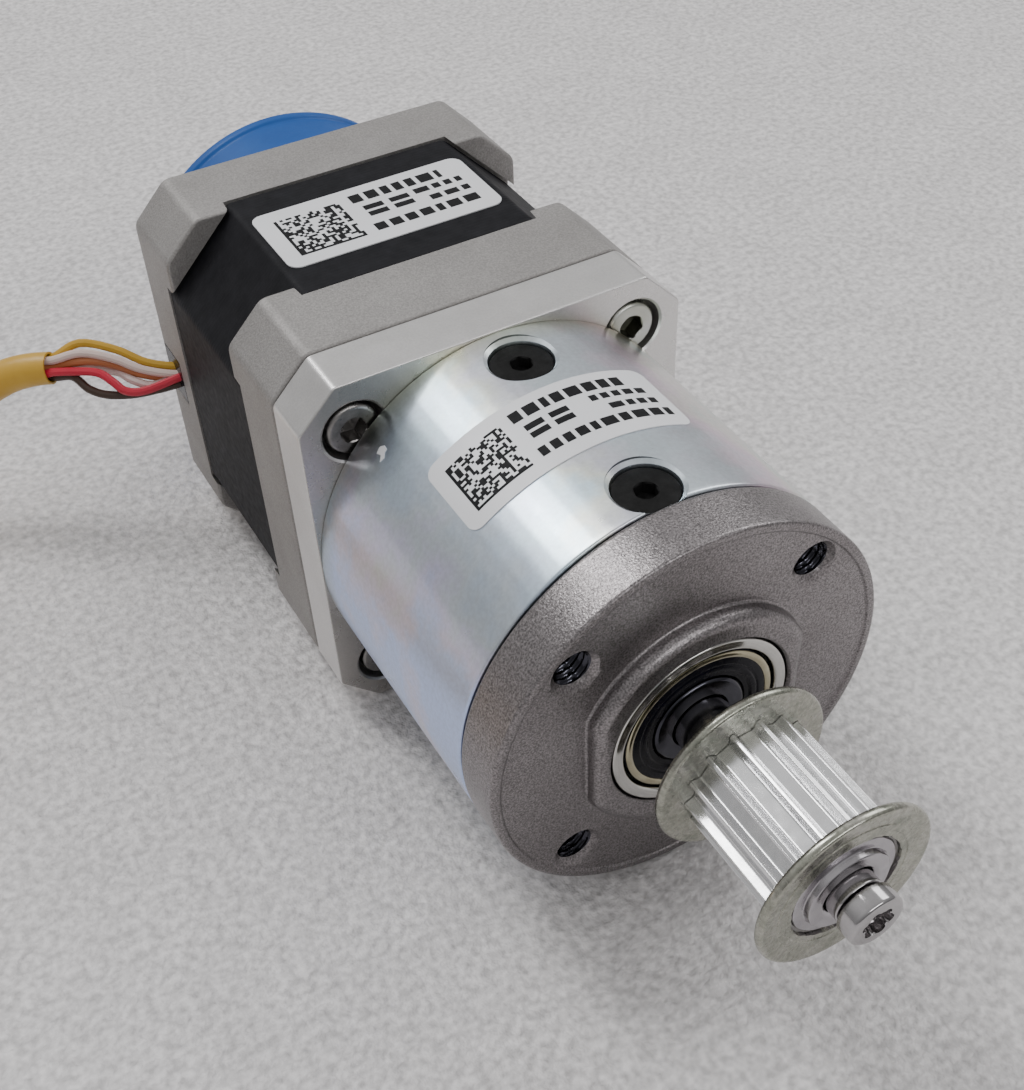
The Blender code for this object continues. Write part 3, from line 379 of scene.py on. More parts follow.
# The pulley's turned aluminium made darker, as painted shade on the hub's end face and recess.
HUB_PAINTED_SHADE = look("turned face with painted shade", "machined_aluminium", tones((0.40, 0.38, 0.40), (0.50, 0.48, 0.50)),
    0.5, (0.16, 0.26), 1.0, [(5.0, 0.003)])
# A dark copy of the zinc plating, as painted shade inside a screw's socket.
SOCKET_PAINTED_SHADE = look("socket with painted shade", "zinc_plated_steel", tones((0.10, 0.10, 0.08), (0.22, 0.22, 0.18)), 1.2,
    (0.3, 0.5), 1.0, [(4.0, 0.01)])
STEEL = look("ground steel", "steel", tones((0.42, 0.405, 0.41), (0.50, 0.485, 0.49)), 0.5, (0.1, 0.17),
    1.0, [(4.0, 0.002)])
BRIGHT_STEEL = look("polished ring", "steel", tones((0.58, 0.57, 0.54), (0.66, 0.65, 0.62)), 0.5,
    (0.08, 0.13), 1.0, [(4.0, 0.0008)])
DARK_STEEL = look("dark socket steel", "steel", tones((0.2, 0.19, 0.185), (0.32, 0.31, 0.3)), 0.8,
    (0.25, 0.38), 1.0, [(5.0, 0.006)])
BLACK_OXIDE = look("black oxide", "black_oxide_steel", tones(0.006, 0.014), 1.2, (0.45, 0.58), 0.0,
    [(5.0, 0.008)], Specular_IOR_Level=0.1)
GEAR = look("oiled gear steel", "gear_steel", tones((0.28, 0.27, 0.26), (0.42, 0.41, 0.40)), 0.6,
    (0.22, 0.4), 1.0, [(4.0, 0.004)])
LACQUER = look("black lacquered laminations", "laminations", tones((0.008, 0.008, 0.010),
    (0.015, 0.015, 0.018)), 0.5, (0.5, 0.62), 0.0, [(4.0, 0.005)], Specular_IOR_Level=0.12)
COPPER = look("enamelled copper", "copper", tones((0.45, 0.15, 0.05), (0.65, 0.27, 0.12)), 1.5, (0.2, 0.35),
    1.0, [(3.0, 0.05)])
MAGNET = look("sintered magnet", "magnet", tones((0.06, 0.06, 0.065), (0.12, 0.12, 0.13)), 1.5, (0.4, 0.6),
    0.7, [(5.0, 0.02)])
SEAL = look("black seal rubber", "rubber", tones((0.003, 0.003, 0.006), (0.006, 0.006, 0.011)), 0.8,
    (0.2, 0.3), 0.0, [(4.0, 0.003)], Specular_IOR_Level=0.14)
BLUE = look("blue cap plastic", "blue_plastic", tones((0.006, 0.075, 0.31), (0.012, 0.105, 0.39)), 0.1,
    (0.4, 0.5), 0.0, [(2.5, 0.012), (0.4, 0.05)], Specular_IOR_Level=0.3)
FILM = look("silver label film", "label_film", tones((0.78, 0.785, 0.81), (0.82, 0.825, 0.85)), 0.15,
    (0.42, 0.52), 0.1, [(3.0, 0.003)])
INK = look("black print", "label_film", tones((0.008, 0.008, 0.009), (0.014, 0.014, 0.016)), 2.0,
    (0.5, 0.6), 0.0, Specular_IOR_Level=0.15)
SLEEVE = look("yellow sleeve", "yellow_sleeve", tones((0.53, 0.30, 0.035), (0.62, 0.38, 0.055)), 0.15,
    (0.32, 0.45), 0.0, [(1.2, 0.03), (5.0, 0.006)])
# Polished steel made near black as painted shade, for the bearing's inner ring deep in its seat and the
# cover's tapped holes.
POLISHED_STEEL_PAINTED_SHADE = look("polished steel darkened as painted shade", "steel", tones((0.045, 0.045, 0.055), (0.075, 0.075, 0.09)), 0.5,
    (0.12, 0.2), 1.0, [(4.0, 0.001)])
BRASS_RING = look("tinted ring", "steel", tones((0.42, 0.38, 0.26), (0.56, 0.52, 0.38)), 0.5, (0.09, 0.18),
    1.0, [(4.0, 0.001)])
TINNED = look("tinned strands", "steel", tones(0.5, 0.7), 2.0, (0.25, 0.4), 1.0, [(3.0, 0.05)])
NYLON = look("nylon tie", "yellow_sleeve", tones((0.60, 0.60, 0.57), (0.70, 0.70, 0.66)), 0.4, (0.35, 0.5),
    0.0, [(2.0, 0.02)])

ADAPTER_SCREWS = (YELLOW_ZINC, ZINC, DARK_STEEL, DARK_STEEL)


def repaint(made, look, chosen):
    """Give another material to the faces whose middle, in millimetres about the shaft axis, is chosen."""
    made.data.materials.append(look)
    for face in made.data.polygons:
        if chosen(face.center / MM - LIFT):
            face.material_index = 1


# ---- gearbox housing

RING_TEETH = 38
RING_TIP_R, RING_ROOT_R = 16.47, 18.13
RING_GEAR = (-5.95, -19.95)
TUBE_BORE_R = 18.35
RADIAL_ANGLES = (90, 210, 330)
RADIAL_ROWS = {"rear": -2.35, "front": -23.45}
COUNTERSUNK_R, COUNTERSUNK_TOP = 3.05, 20.15
SPIGOT_R = 18.2             # the plate's and the cover's fit in the tube's ends
BOSS_R, BOSS_FLAT = 12.4, 11.2      # the flats' distance from the shaft axis
COVER_REAR, TAPPED_CIRCLE_R = -21.25, 17.4
SUPPORT_SEAT_R, OUTPUT_SEAT_R, COVER_BORE_R = 13.05, 9.65, 8.0
SPIGOT_REAR, SPIGOT_BORE_R = -5.45, 13.0


def joined(shapes):
    """Several separate shapes in one mesh."""
    whole = bmesh.new()
    for bm in shapes:
        mesh = bpy.data.meshes.new("part")
        bm.to_mesh(mesh)
        bm.free()
        whole.from_mesh(mesh)
        bpy.data.meshes.remove(mesh)
    return whole


def bored(target, profile, sides, spots):
    """Cut a turned hole along Y at each spot."""
    carve(target, joined([place(turned(profile, sides, closed=False), x, 0, z) for x, z in spots]))


def radial_holes(profile, rows=RADIAL_ROWS):
    return [place(turned(profile, 64, closed=False), y=rows[row], turn=along_radius(angle))
            for row in rows for angle in RADIAL_ANGLES]


def gear_tube():
    """The plated tube: screw holes with countersinks, and the ring gear's teeth on its inside."""
    angles, radii = [], []
    pitch = 360 / RING_TEETH
    for k in range(RING_TEETH):
        for turn, radius in ((-4.01, RING_ROOT_R), (-1.31, RING_TIP_R), (0.0, RING_TIP_R),
                             (1.31, RING_TIP_R), (4.01, RING_ROOT_R), (pitch / 2, RING_ROOT_R)):
            angles.append(radians(k * pitch + turn))
            radii.append(radius)
    rear, front = PLATE_FRONT - 0.02, FLANGE_REAR + 0.14
    outside = soften([(TUBE_BORE_R, rear), (TUBE_R, rear), (TUBE_R, rear - 0.3)], 0.12, 3)
    outside += soften([(TUBE_R, front + 0.7), (TUBE_R, front), (TUBE_BORE_R, front)], 0.3, 5)
    loops = [ring(r, y, angles=angles) for r, y in outside]
    loops += [ring(TUBE_BORE_R, RING_GEAR[1], angles=angles), ring(radii, RING_GEAR[1], angles=angles),
              ring(radii, RING_GEAR[0], angles=angles), ring(TUBE_BORE_R, RING_GEAR[0], angles=angles)]
    tube = to_object("gear_tube_shell", skin(loops, closed=True))
    rim = COUNTERSUNK_R + 0.08
    holes = [(CLEAR_R, 15.0), (CLEAR_R, 18.3), (rim, 19.85), (rim, 20.2), (rim + 0.07, 20.42),
             (rim + 0.46, 20.72), (rim + 0.52, 21.1), (rim + 0.52, 23.0)]
    carve(tube, joined(radial_holes(holes)))
    finish(tube, ZINC, "ring_gear_tube")


def boss_radius(extra=0.0):
    """The boss is round with two flats, and its corners are a little soft."""
    def radius(a):
        flat = BOSS_FLAT / max(1e-3, abs(cos(a)))
        return BOSS_R * (1 + (BOSS_R / flat) ** 300) ** (-1 / 300) + extra
    return radius


def thread_cutter(pitch=0.7, small=1.66, large=1.98, mouth=2.4, deep=5.0):
    """A tapped hole along Y from its mouth at 0, with a real helix."""
    sides, steps = 36, 8
    loops = [ring(mouth + 0.5, -0.5, sides), ring(mouth, 0.0, sides)]
    levels = int(deep / pitch * steps)
    for level in range(6, levels):
        y = level * pitch / steps
        turns = [(level / steps - k / sides) % 1.0 for k in range(sides)]
        depths = [min(1.0, max(0.0, 1.5 * (1 - abs(2 * turn - 1)) - 0.2)) for turn in turns]
        loops.append(ring([small + (large - small) * depth for depth in depths], y, sides))
    return skin(loops)


def output_cover():
    """The cast front cover: rim, recessed face, boss with two flats, bearing seats and tapped holes."""
    face = FLANGE_FACE + 0.2
    fillet, top = 0.3, 1.2
    section = soften([(SUPPORT_SEAT_R, COVER_REAR), (SPIGOT_R, COVER_REAR), (SPIGOT_R, FLANGE_REAR)], 0.4)
    rim = soften([(SPIGOT_R, FLANGE_REAR), (TUBE_R, FLANGE_REAR), (TUBE_R, FLANGE_FACE),
                  (TUBE_R - 0.9, FLANGE_FACE), (TUBE_R - 1.05, face), (14.6, face)], 0.5, 6)
    section += rim[1:]
    section += [(boss_radius(fillet * s), face - fillet * c) for s, c in quarter(6)]
    section += [(boss_radius(-top * c), BOSS_FACE + top * s) for s, c in quarter(6)]
    section += soften([(OUTPUT_SEAT_R + 0.33, BOSS_FACE), (OUTPUT_SEAT_R + 0.2, BOSS_FACE),
                       (OUTPUT_SEAT_R, BOSS_FACE + 0.3), (OUTPUT_SEAT_R, -27.35), (COVER_BORE_R, -27.35)],
                      0.15)
    section += [(COVER_BORE_R, -26.05), (SUPPORT_SEAT_R, -26.05)]
    cover = to_object("output_cover", skin([ring(r, y, 192) for r, y in section], closed=True))
    spot = TAPPED_CIRCLE_R / sqrt(2)
    carve(cover, joined([place(thread_cutter(), x, face, z) for x, z in corners(spot)]))
    carve(cover, joined(radial_holes([(CLEAR_R, 14.4), (CLEAR_R, 20.0)], {"front": RADIAL_ROWS["front"]})))
    finish(cover, DARK_CAST, "output_flange", smooth=40)
    # Painted shade inside the tapped holes.
    repaint(cover, POLISHED_STEEL_PAINTED_SHADE,
            lambda p: p.y > face + 0.5 and hypot(abs(p.x) - spot, abs(p.z) - spot) < 2.2)


def adapter_plate():
    outline = soften(octagon(HALF, CHAMFER), 0.45, 4, closed=True)
    plate = to_object("adapter_plate", prism(outline, PLATE_FRONT, PLATE_REAR, 0.22))
    spigot = soften(rectangle(SPIGOT_BORE_R, SPIGOT_R, PLATE_FRONT + 0.4, SPIGOT_REAR), 0.4)
    carve(plate, turned(spigot, 144), "UNION")
    floor = PLATE_REAR - 2.3
    bore = [(7.0, SPIGOT_REAR - 4), (7.0, floor), (11.15, floor), (11.15, PLATE_REAR - 0.2),
            (11.4, PLATE_REAR + 0.05), (11.4, PLATE_REAR + 1)]
    carve(plate, turned(bore, 96, closed=False))
    seat = PLATE_FRONT + 3.4
    counterbore = [(3.6, PLATE_FRONT - 1), (3.6, PLATE_FRONT - 0.05), (3.3, PLATE_FRONT + 0.18), (3.3, seat),
                   (CLEAR_R, seat), (CLEAR_R, PLATE_REAR + 1)]
    bored(plate, counterbore, 72, corners(BOLT))
    carve(plate, joined(radial_holes([(CLEAR_R, 12.0), (CLEAR_R, 20.0)], {"rear": RADIAL_ROWS["rear"]})))
    finish(plate, PLATE_LOOK, "adapter_flange")
    # Painted reflection: the front face gets darker towards its left.
    repaint(plate, PLATE_FACE_PAINTED_REFLECTION, lambda p: p.y < PLATE_FRONT + 0.02)


# ---- motor

PAD_DIAGONAL = 34.45        # where X + Z meets a pad's inner side


def bell(name, seat, pad_end, outer_end, bearing_floor, bore_r):
    """A cast end bell: an octagon with corner pads that reach over the stack."""
    outline = soften(octagon(HALF, CHAMFER), 0.7, 5, closed=True)
    first, last = sorted((outer_end, pad_end))
    made = to_object(name, prism(outline, first, last, 0.35))
    way = 1 if pad_end > seat else -1
    wide = HALF + 1.5
    pocket = [(x, seat, z) for x, z in octagon(wide, 2 * wide - PAD_DIAGONAL)]
    mouth = [(x, pad_end + way, z) for x, z in octagon(wide, 2 * wide - PAD_DIAGONAL - 0.25)]
    carve(made, skin([pocket, mouth]))
    seat_r, cavity_r, cavity_depth = 8.15, 17.2, 4.2
    floor = seat - way * cavity_depth
    cavity = [(bore_r, bearing_floor - way * 20), (bore_r, bearing_floor), (seat_r, bearing_floor),
              (seat_r, floor), (cavity_r, floor), (cavity_r, seat + way)]
    carve(made, turned(cavity, 96, closed=False))
    return made


def front_bell():
    first = FRONT_BELL[0].y + 2.0
    made = bell("front_bell_casting", STACK_FRONT, FRONT_BELL[1].y, first, first + 0.2, 5.0)
    pilot = soften(rectangle(5.0, 11.0, first + 0.4, first - 2.0), 0.3)
    carve(made, turned(pilot, 120), "UNION")
    bored(made, [(CLEAR_R, first - 1), (CLEAR_R, FRONT_BELL[1].y + 1)], 48, corners(BOLT))
    finish(made, CAST, "front_end_bell")


def rear_bell():
    last = MOTOR_REAR
    pad = REAR_BELL[0].y
    made = bell("rear_bell_casting", STACK_REAR, pad, last, last - 1.4, 4.0)
    ring_section = soften(rectangle(14.5, 17.0, last - 0.4, last + 1.6), 0.3)
    carve(made, turned(ring_section, 144), "UNION")
    seat = last - 2.2
    head = [(CLEAR_R, pad - 1), (CLEAR_R, seat), (3.0, seat), (3.0, last - 0.25), (3.3, last + 0.05),
            (3.3, last + 1)]
    bored(made, head, 64, corners(BOLT))
    y, z = (GROMMET[0].y + GROMMET[1].y) / 2, (GROMMET[0].z + GROMMET[1].z) / 2
    slot = soften(rectangle(y - 2.5, y + 2.5, z - 3.0, z + 3.0), 0.1, 2, closed=True)
    loops = [[(x, py, pz) for py, pz in slot] for x in (-HALF - 1, -15.7)]
    carve(made, skin(loops))
    finish(made, CAST, "rear_end_bell")


def lamination_pack():
    """Punched sheets, each a hair apart at its edge, round eight poles."""
    thick, sink = 0.5, 0.012
    outline = soften(octagon(STACK_HALF, STACK_CHAMFER + 0.2), 0.5, 4, closed=True)
    count = round((STACK[1].y - STACK[0].y) / thick)
    step = (STACK[1].y - STACK[0].y) / count
    loops = []
    for k in range(count):
        y = STACK[0].y + k * step
        for inwards, along in ((sink, 0.0), (0.0, step * 0.16), (0.0, step * 0.84)):
            loops.append([(x, y + along, z) for x, z in inset(outline, inwards)])
    loops.append([(x, STACK[1].y, z) for x, z in inset(outline, sink)])
    pack = to_object("lamination_pack", skin(loops))
    bore = []
    for k in range(8):
        middle = pi / 4 * k
        for r, a in ((17.0, -0.262), (12.8, -0.33), (12.6, -0.35), (11.2, -0.35), (11.2, -0.17),
                     (11.2, 0.0), (11.2, 0.17), (11.2, 0.35), (12.6, 0.35), (12.8, 0.33), (17.0, 0.262)):
            bore.append((r * cos(middle + a), r * sin(middle + a)))
    first, last = STACK[0].y - 1, STACK[1].y + 1
    carve(pack, skin([[(x, y, z) for x, z in bore] for y in (first, last)]))
    bored(pack, [(CLEAR_R, first), (CLEAR_R, last)], 48, corners(BOLT))
    finish(pack, LACQUER, "stator_stack")


def protective_cap():
    """A moulded cap over the motor's rear shaft, with a lip at its closed end."""
    first, last = CAP[0].y, CAP[1].y
    outer, skirt, inner = CAP[1].x, CAP[1].x - 0.35, 17.15
    section = [(0.02, last - 0.5), (13.6, last - 0.5), (14.4, last)]
    section += soften([(14.4, last), (outer, last), (outer, last - 1.2), (skirt, last - 1.6), (skirt, first),
                       (inner, first), (inner, last - 1.7), (0.02, last - 1.7)], 0.55, 5)[1:]
    finish(("protective_cap", turned(section, 192, closed=False)), BLUE, "rear_cap", smooth=50)


# ---- screws

HEAD_R, SHANK_R, KEY = 2.75, 1.5, 2.5       # of the plate's and the motor's long screws


def hexagonal(across_flats):
    def radius(a):
        return across_flats / 2 / cos((a % (pi / 3)) - pi / 6)
    return radius


def six_lobed(a):
    return 1.5 + 0.2 * cos(6 * a) - 0.03 * cos(12 * a)


def socket_screw(name, node, look, top, under_head, end, head_r, shank_r, key, x, z, turn=0.0, body=HOUSING):
    """A cap screw along Y from top to end. key is its hexagon's width, or a radius by angle."""
    way = copysign(1.0, end - top)
    socket, deep, wide = (key, 1.0, 2.6) if callable(key) else (hexagonal(key), 1.7, key)
    loops = [ring(0.05, top + way * (deep + 0.35), FINE),
             ring(lambda a: socket(a) * 0.98, top + way * deep, FINE),
             ring(socket, top + way * 0.1, FINE),
             ring(lambda a: max(socket(a), wide / 2 + 0.14), top, FINE)]
    edge = min(0.5, head_r * 0.16)
    loops += [ring(head_r - edge * s, top + way * edge * c, FINE) for s, c in quarter(4)]
    loops += [ring(head_r, under_head - way * 0.12, FINE), ring(head_r - 0.12, under_head, FINE),
              ring(shank_r, under_head, FINE), ring(shank_r, end - way * 0.25, FINE),
              ring(shank_r - 0.25, end, FINE)]
    bm = place(skin(loops), turn=Matrix.Rotation(radians(turn), 4, "Y"))
    screw = finish((name, place(bm, x, 0, z)), look, node, body=body)
    # The passivated screw's socket gets painted shade.
    if look is YELLOW_ZINC:
        repaint(screw, SOCKET_PAINTED_SHADE,
                lambda p: way * (p.y - top) > 0.2 and hypot(p.x - x, p.z - z) < key * 0.6)


def screws():
    top, end = PLATE_SCREW[0].y, PLATE_SCREW[1].y
    for k, (x, z) in enumerate(corners(BOLT)):
        socket_screw(f"plate_screw_{k + 1}", f"adapter_screw_{k + 1}", ADAPTER_SCREWS[k], top,
                     PLATE_FRONT + 3.1, end, HEAD_R, SHANK_R, KEY, x, z, turn=(17, 49, 5, 33)[k])
        rear = MOTOR_REAR - 0.1
        socket_screw(f"motor_bolt_{k + 1}", f"tie_bolt_{k + 1}", BLACK_OXIDE, rear, rear - 1.9,
                     PLATE_REAR + 5.6, HEAD_R, SHANK_R, KEY, x, z, turn=(8, 41, 22, 55)[k])
    top = COUNTERSUNK_TOP
    for row, y in RADIAL_ROWS.items():
        for k, angle in enumerate(RADIAL_ANGLES):
            socket = hexagonal(2.0)
            loops = [ring(0.05, top - 1.5, FINE), ring(socket, top - 1.2, FINE),
                     ring(socket, top - 0.12, FINE), ring(lambda a: max(socket(a), 1.13), top, FINE)]
            loops += [ring(r, d, FINE) for r, d in (
                (COUNTERSUNK_R - 0.18, top), (COUNTERSUNK_R - 0.05, top - 0.05), (COUNTERSUNK_R, top - 0.18),
                (COUNTERSUNK_R, top - 0.36), (1.5, top - 1.9), (1.5, 15.2), (1.25, 15.0))]
            bm = place(skin(loops), turn=Matrix.Rotation(radians(14 + 21 * k), 4, "Y"))
            bm = place(bm, y=y, turn=along_radius(angle))
            finish((f"countersunk_screw_{row}_{k + 1}", bm), BLACK_OXIDE, f"radial_screw_{row}_{k + 1}")


# ---- bearing, shaft and pulley

PULLEY_TEETH = 14
TOOTH_TIP_R, TOOTH_ROOT_R = 6.37, 5.42
PULLEY_TURN = 4.5
HUB_R = 5.3
FLANGE_R, FLANGE_THICK = 8.9, 0.95
PIN_R, PIN_CIRCLE, PIN_END = 1.75, 11.7, -13.95     # the second carrier's


def output_bearing():
    start, end = -27.65, -33.55
    outer = soften([(9.5, start), (9.5, end), (8.35, end), (8.2, end + 0.5), (8.2, end + 1.1),
                    (7.3, end + 1.1), (7.3, start)], 0.28, 5, closed=True)
    finish(("bearing_outer_ring", turned(outer, 192)), BRIGHT_STEEL, "output_bearing_outer")
    inner = soften([(4.86, start), (4.86, end + 0.35), (4.6, end + 0.1), (3.05, end + 0.1), (3.05, start)],
                   0.12, 3, closed=True)
    # The inner ring carries painted shade.
    finish(("bearing_inner_ring", turned(inner, 144)), POLISHED_STEEL_PAINTED_SHADE, "output_bearing_inner", body=OUTPUT)
    seal = soften([(7.98, end + 0.75), (7.98, end + 0.5), (7.8, end + 0.42), (7.35, end + 0.42),
                   (7.2, end + 0.28), (6.5, end + 0.24), (6.35, end + 0.34), (6.2, end + 0.24),
                   (5.7, end + 0.26), (5.55, end + 0.42), (5.0, end + 0.42), (5.0, end + 0.75)], 0.1, 3,
                  closed=True)
    finish(("bearing_shield", turned(seal, 192)), SEAL, "output_bearing_seal")
    wire = [(7.58 + 0.36 * cos(a), end + 0.33 + 0.16 * sin(a)) for a in (pi * k / 8 for k in range(16))]
    finish(("bearing_snap_ring", turned(wire, 192)), BRASS_RING, slot="steel")


def output_shaft():
    """Shaft, bearing journals, the second carrier's plate and its four pins."""
    plate_rear, plate_front = -19.55, -20.95
    section = [(0.05, plate_rear)]
    section += soften([(0.05, plate_rear), (15.2, plate_rear), (15.2, plate_front), (7.95, plate_front),
                       (7.95, -25.75), (4.6, -25.95), (4.6, -27.55), (2.9, -27.55), (2.9, -38.65),
                       (2.45, -38.65), (2.45, SHAFT[0].y), (1.35, SHAFT[0].y), (1.2, SHAFT[0].y + 0.2)],
                      0.22, 4)[1:]
    section += [(1.2, SHAFT[0].y + 8.0)]
    shaft = to_object("drive_shaft", turned(section, 128, closed=False))
    pins = []
    for k in range(4):
        a = pi / 2 * k
        pin = turned([(PIN_R, plate_rear - 0.4), (PIN_R, PIN_END)], 40, closed=False)
        pins.append(place(pin, PIN_CIRCLE * cos(a), 0, PIN_CIRCLE * sin(a)))
    carve(shaft, joined(pins), "UNION")
    finish(shaft, STEEL, "output_shaft", body=OUTPUT)


def tooth_outline():
    """Narrow lands between wide flat-bottomed grooves, with soft corners."""
    pitch = 2 * pi / PULLEY_TEETH
    points = []
    for k in range(PULLEY_TEETH):
        middle = k * pitch + radians(PULLEY_TURN)
        for r, share in ((TOOTH_ROOT_R, -0.2), (TOOTH_TIP_R, -0.075), (TOOTH_TIP_R, 0.075),
                         (TOOTH_ROOT_R, 0.2)):
            points.append((r * cos(middle + share * pitch), r * sin(middle + share * pitch)))
    rounded = []
    count = len(points)
    for k in range(count):
        radius = 0.2 if k % 4 in (0, 3) else 0.12
        rounded += soften([points[k - 1], points[k], points[(k + 1) % count]], radius, 4)[1:-1]
    return rounded


def ragged(radius, depth):
    """A torn edge's distance from the axis at each angle."""
    return lambda a: radius + depth * (0.5 * sin(7 * a + 1) + 0.3 * sin(17 * a) + 0.3 * sin(31 * a + 2))


def pulley():
    rear, front = PULLEY[1].y, PULLEY[0].y
    rear_teeth, front_teeth = rear - FLANGE_THICK - 0.05, front + FLANGE_THICK + 0.05
    outline = tooth_outline()
    angles = [atan2(z, x) for x, z in outline]
    radii = [hypot(x, z) for x, z in outline]
    bore = 2.6
    outer_hub = soften([(bore, rear), (HUB_R, rear), (HUB_R, rear_teeth)], 0.15, 3)
    inner_hub = soften([(HUB_R, front_teeth), (HUB_R + 0.05, front + 0.3), (HUB_R - 0.05, front + 0.18),
                        (4.3, front + 0.18), (4.2, front - 0.5), (bore + 0.25, front - 0.5),
                        (bore, front - 0.3)], 0.16, 3)
    loops = [ring(r, y, angles=angles) for r, y in outer_hub]
    loops += [ring(radii, rear_teeth, angles=angles), ring(radii, front_teeth, angles=angles)]
    loops += [ring(r, y, angles=angles) for r, y in inner_hub]
    body = finish(("pulley_body", skin(loops, closed=True)), PULLEY_LOOK, "timing_pulley", body=OUTPUT,
                  smooth=24)
    # Painted shade: the hub's end face and its recess get the darker copy of the pulley's aluminium.
    repaint(body, HUB_PAINTED_SHADE, lambda p: p.y < front + 0.4 and hypot(p.x, p.z) < HUB_R + 0.1)

    for name, node, outer, way in (("pulley_rim_rear", "pulley_flange_rear", rear, -1),
                                   ("pulley_rim_front", "pulley_flange_front", front, 1)):
        inner = outer + way * FLANGE_THICK
        bend = -way * 0.12
        hole = HUB_R + 0.3
        section = [(HUB_R + 0.08, outer + way * 0.42), (ragged(hole, 0.06), outer + way * 0.36),
                   (ragged(hole + 0.08, 0.1), outer), (6.3, outer), (6.36, outer - way * 0.06),
                   (7.0, outer - way * 0.06), (7.06, outer), (FLANGE_R - 0.5, outer + bend)]
        for k in range(9):
            a = pi * k / 8
            middle, half = (outer + inner) / 2 + bend, FLANGE_THICK / 2
            section.append((FLANGE_R - 0.32 + 0.32 * sin(a), middle - way * half * cos(a)))
        section += [(FLANGE_R - 0.5, inner + bend), (7.0, inner), (HUB_R + 0.08, inner)]
        rim = finish((name, turned(section, 192)), RIM_LOOK, node, body=OUTPUT, smooth=40)
        # Painted shade: the faces round the hole, in the gap between the hub and the rim, get the dark
        # steel.
        repaint(rim, DARK_STEEL, lambda p: hypot(p.x, p.z) < hole + 0.08 and abs(p.y - outer) < 0.45)

    top = SCREW[0].y
    socket_screw("shaft_end_screw", "pulley_screw", STEEL, top, SHAFT[0].y - GAP, SHAFT[0].y + 7.0,
                 SCREW[1].x, 1.0, six_lobed, 0, 0, turn=10, body=OUTPUT)


# ---- labels

FILM_THICK = 0.12
PRINT_THICK = 0.02
TUBE_LABEL_TURN = (63.0, 129.0)
TUBE_LABEL_Y = (-17.0, -7.55)
MOTOR_LABEL_SIZE = (24.6, 11.2)
MOTOR_LABEL_Y = 27.75


def corner_bar(along, size, radius):
    """How far a rounded rectangle's side is drawn in at a place along it."""
    nearest = min(along, size - along)
    if nearest >= radius:
        return 0.0
    return radius - sqrt(max(0.0, radius ** 2 - (radius - nearest) ** 2))


def wrapped(u0, u1, v0, v1, low, high, steps=1, corner=0.0):
    """A thin plate bent round the tube. u runs round it from the label's middle, v along it."""
    places = [u0 + (u1 - u0) * k / steps for k in range(steps + 1)]
    if corner:
        ends = [corner * c for _, c in quarter(6)]
        places = [u0 + e for e in ends] + [u for u in places if u0 + corner < u < u1 - corner]
        places += [u1 - e for e in reversed(ends)]
    middle = radians(sum(TUBE_LABEL_TURN) / 2)
    loops = []
    for u in places:
        a = middle - u / TUBE_R
        draw = corner_bar(u - u0, u1 - u0, corner) if corner else 0.0
        loops.append([(r * cos(a), v, r * sin(a)) for r, v in (
            (low, v0 + draw), (high, v0 + draw), (high, v1 - draw), (low, v1 - draw))])
    return skin(loops)


def flat_plate(u0, u1, v0, v1, low, high, corner=0.0):
    outline = rectangle(u0, u1, v0, v1)
    if corner:
        middle = Vector(((u0 + u1) / 2, (v0 + v1) / 2))
        outline = []
        for sx, sy, start in ((1, 1, 0), (-1, 1, 90), (-1, -1, 180), (1, -1, 270)):
            for k in range(9):
                a = radians(start + 90 * k / 8)
                outline.append((middle.x + sx * ((u1 - u0) / 2 - corner) + corner * cos(a),
                                middle.y + sy * ((v1 - v0) / 2 - corner) + corner * sin(a)))
    return skin([[(u, v, z) for u, v in outline] for z in (low, high)])


def print_marks(wide, deep, seed):
    """Generic print: a square of random dots and rows of plain bars. Each mark is (u0, u1, v0, v1)."""
    draw = random.Random(seed)
    marks = []
    cells, block = 22, deep * 0.66
    cell = block / cells
    left, low = -wide / 2 + deep * 0.17, -block / 2 - deep * 0.01
    for row in range(cells):
        start = None
        for column in range(cells + 1):
            border = row == 0 or column == 0
            filled = column < cells and (border or draw.random() < 0.5)
            if filled and start is None:
                start = column
            if not filled and start is not None:
                marks.append((left + start * cell, left + column * cell, low + row * cell,
                              low + (row + 0.96) * cell))
                start = None
    text_left, text_right = left + block + deep * 0.12, wide / 2 - deep * 0.12
    rows = ((0.30, 0.145, 0.0, 0.85), (0.115, 0.09, 0.52, 0.97), (-0.06, 0.09, 0.6, 0.97),
            (-0.26, 0.125, 0.0, 1.0))
    for middle, height, begin, end in rows:
        u = text_left + (text_right - text_left) * begin
        stop = text_left + (text_right - text_left) * end
        while u < stop:
            length = min(stop - u, deep * draw.uniform(0.07, 0.16))
            marks.append((u, u + length, deep * (middle - height / 2), deep * (middle + height / 2)))
            u += length + deep * 0.045
    u = text_left + deep * 0.05
    for _ in range(2):
        marks.append((u, u + deep * 0.2, deep * -0.06, deep * 0.02))
        marks.append((u, u + deep * 0.2, deep * 0.06, deep * 0.14))
        u += deep * 0.27
    return marks


def nameplate(name, node, film, shapes):
    finish((name, film), FILM, node)
    finish((name + "_print", joined(shapes)), INK, slot="label_film")


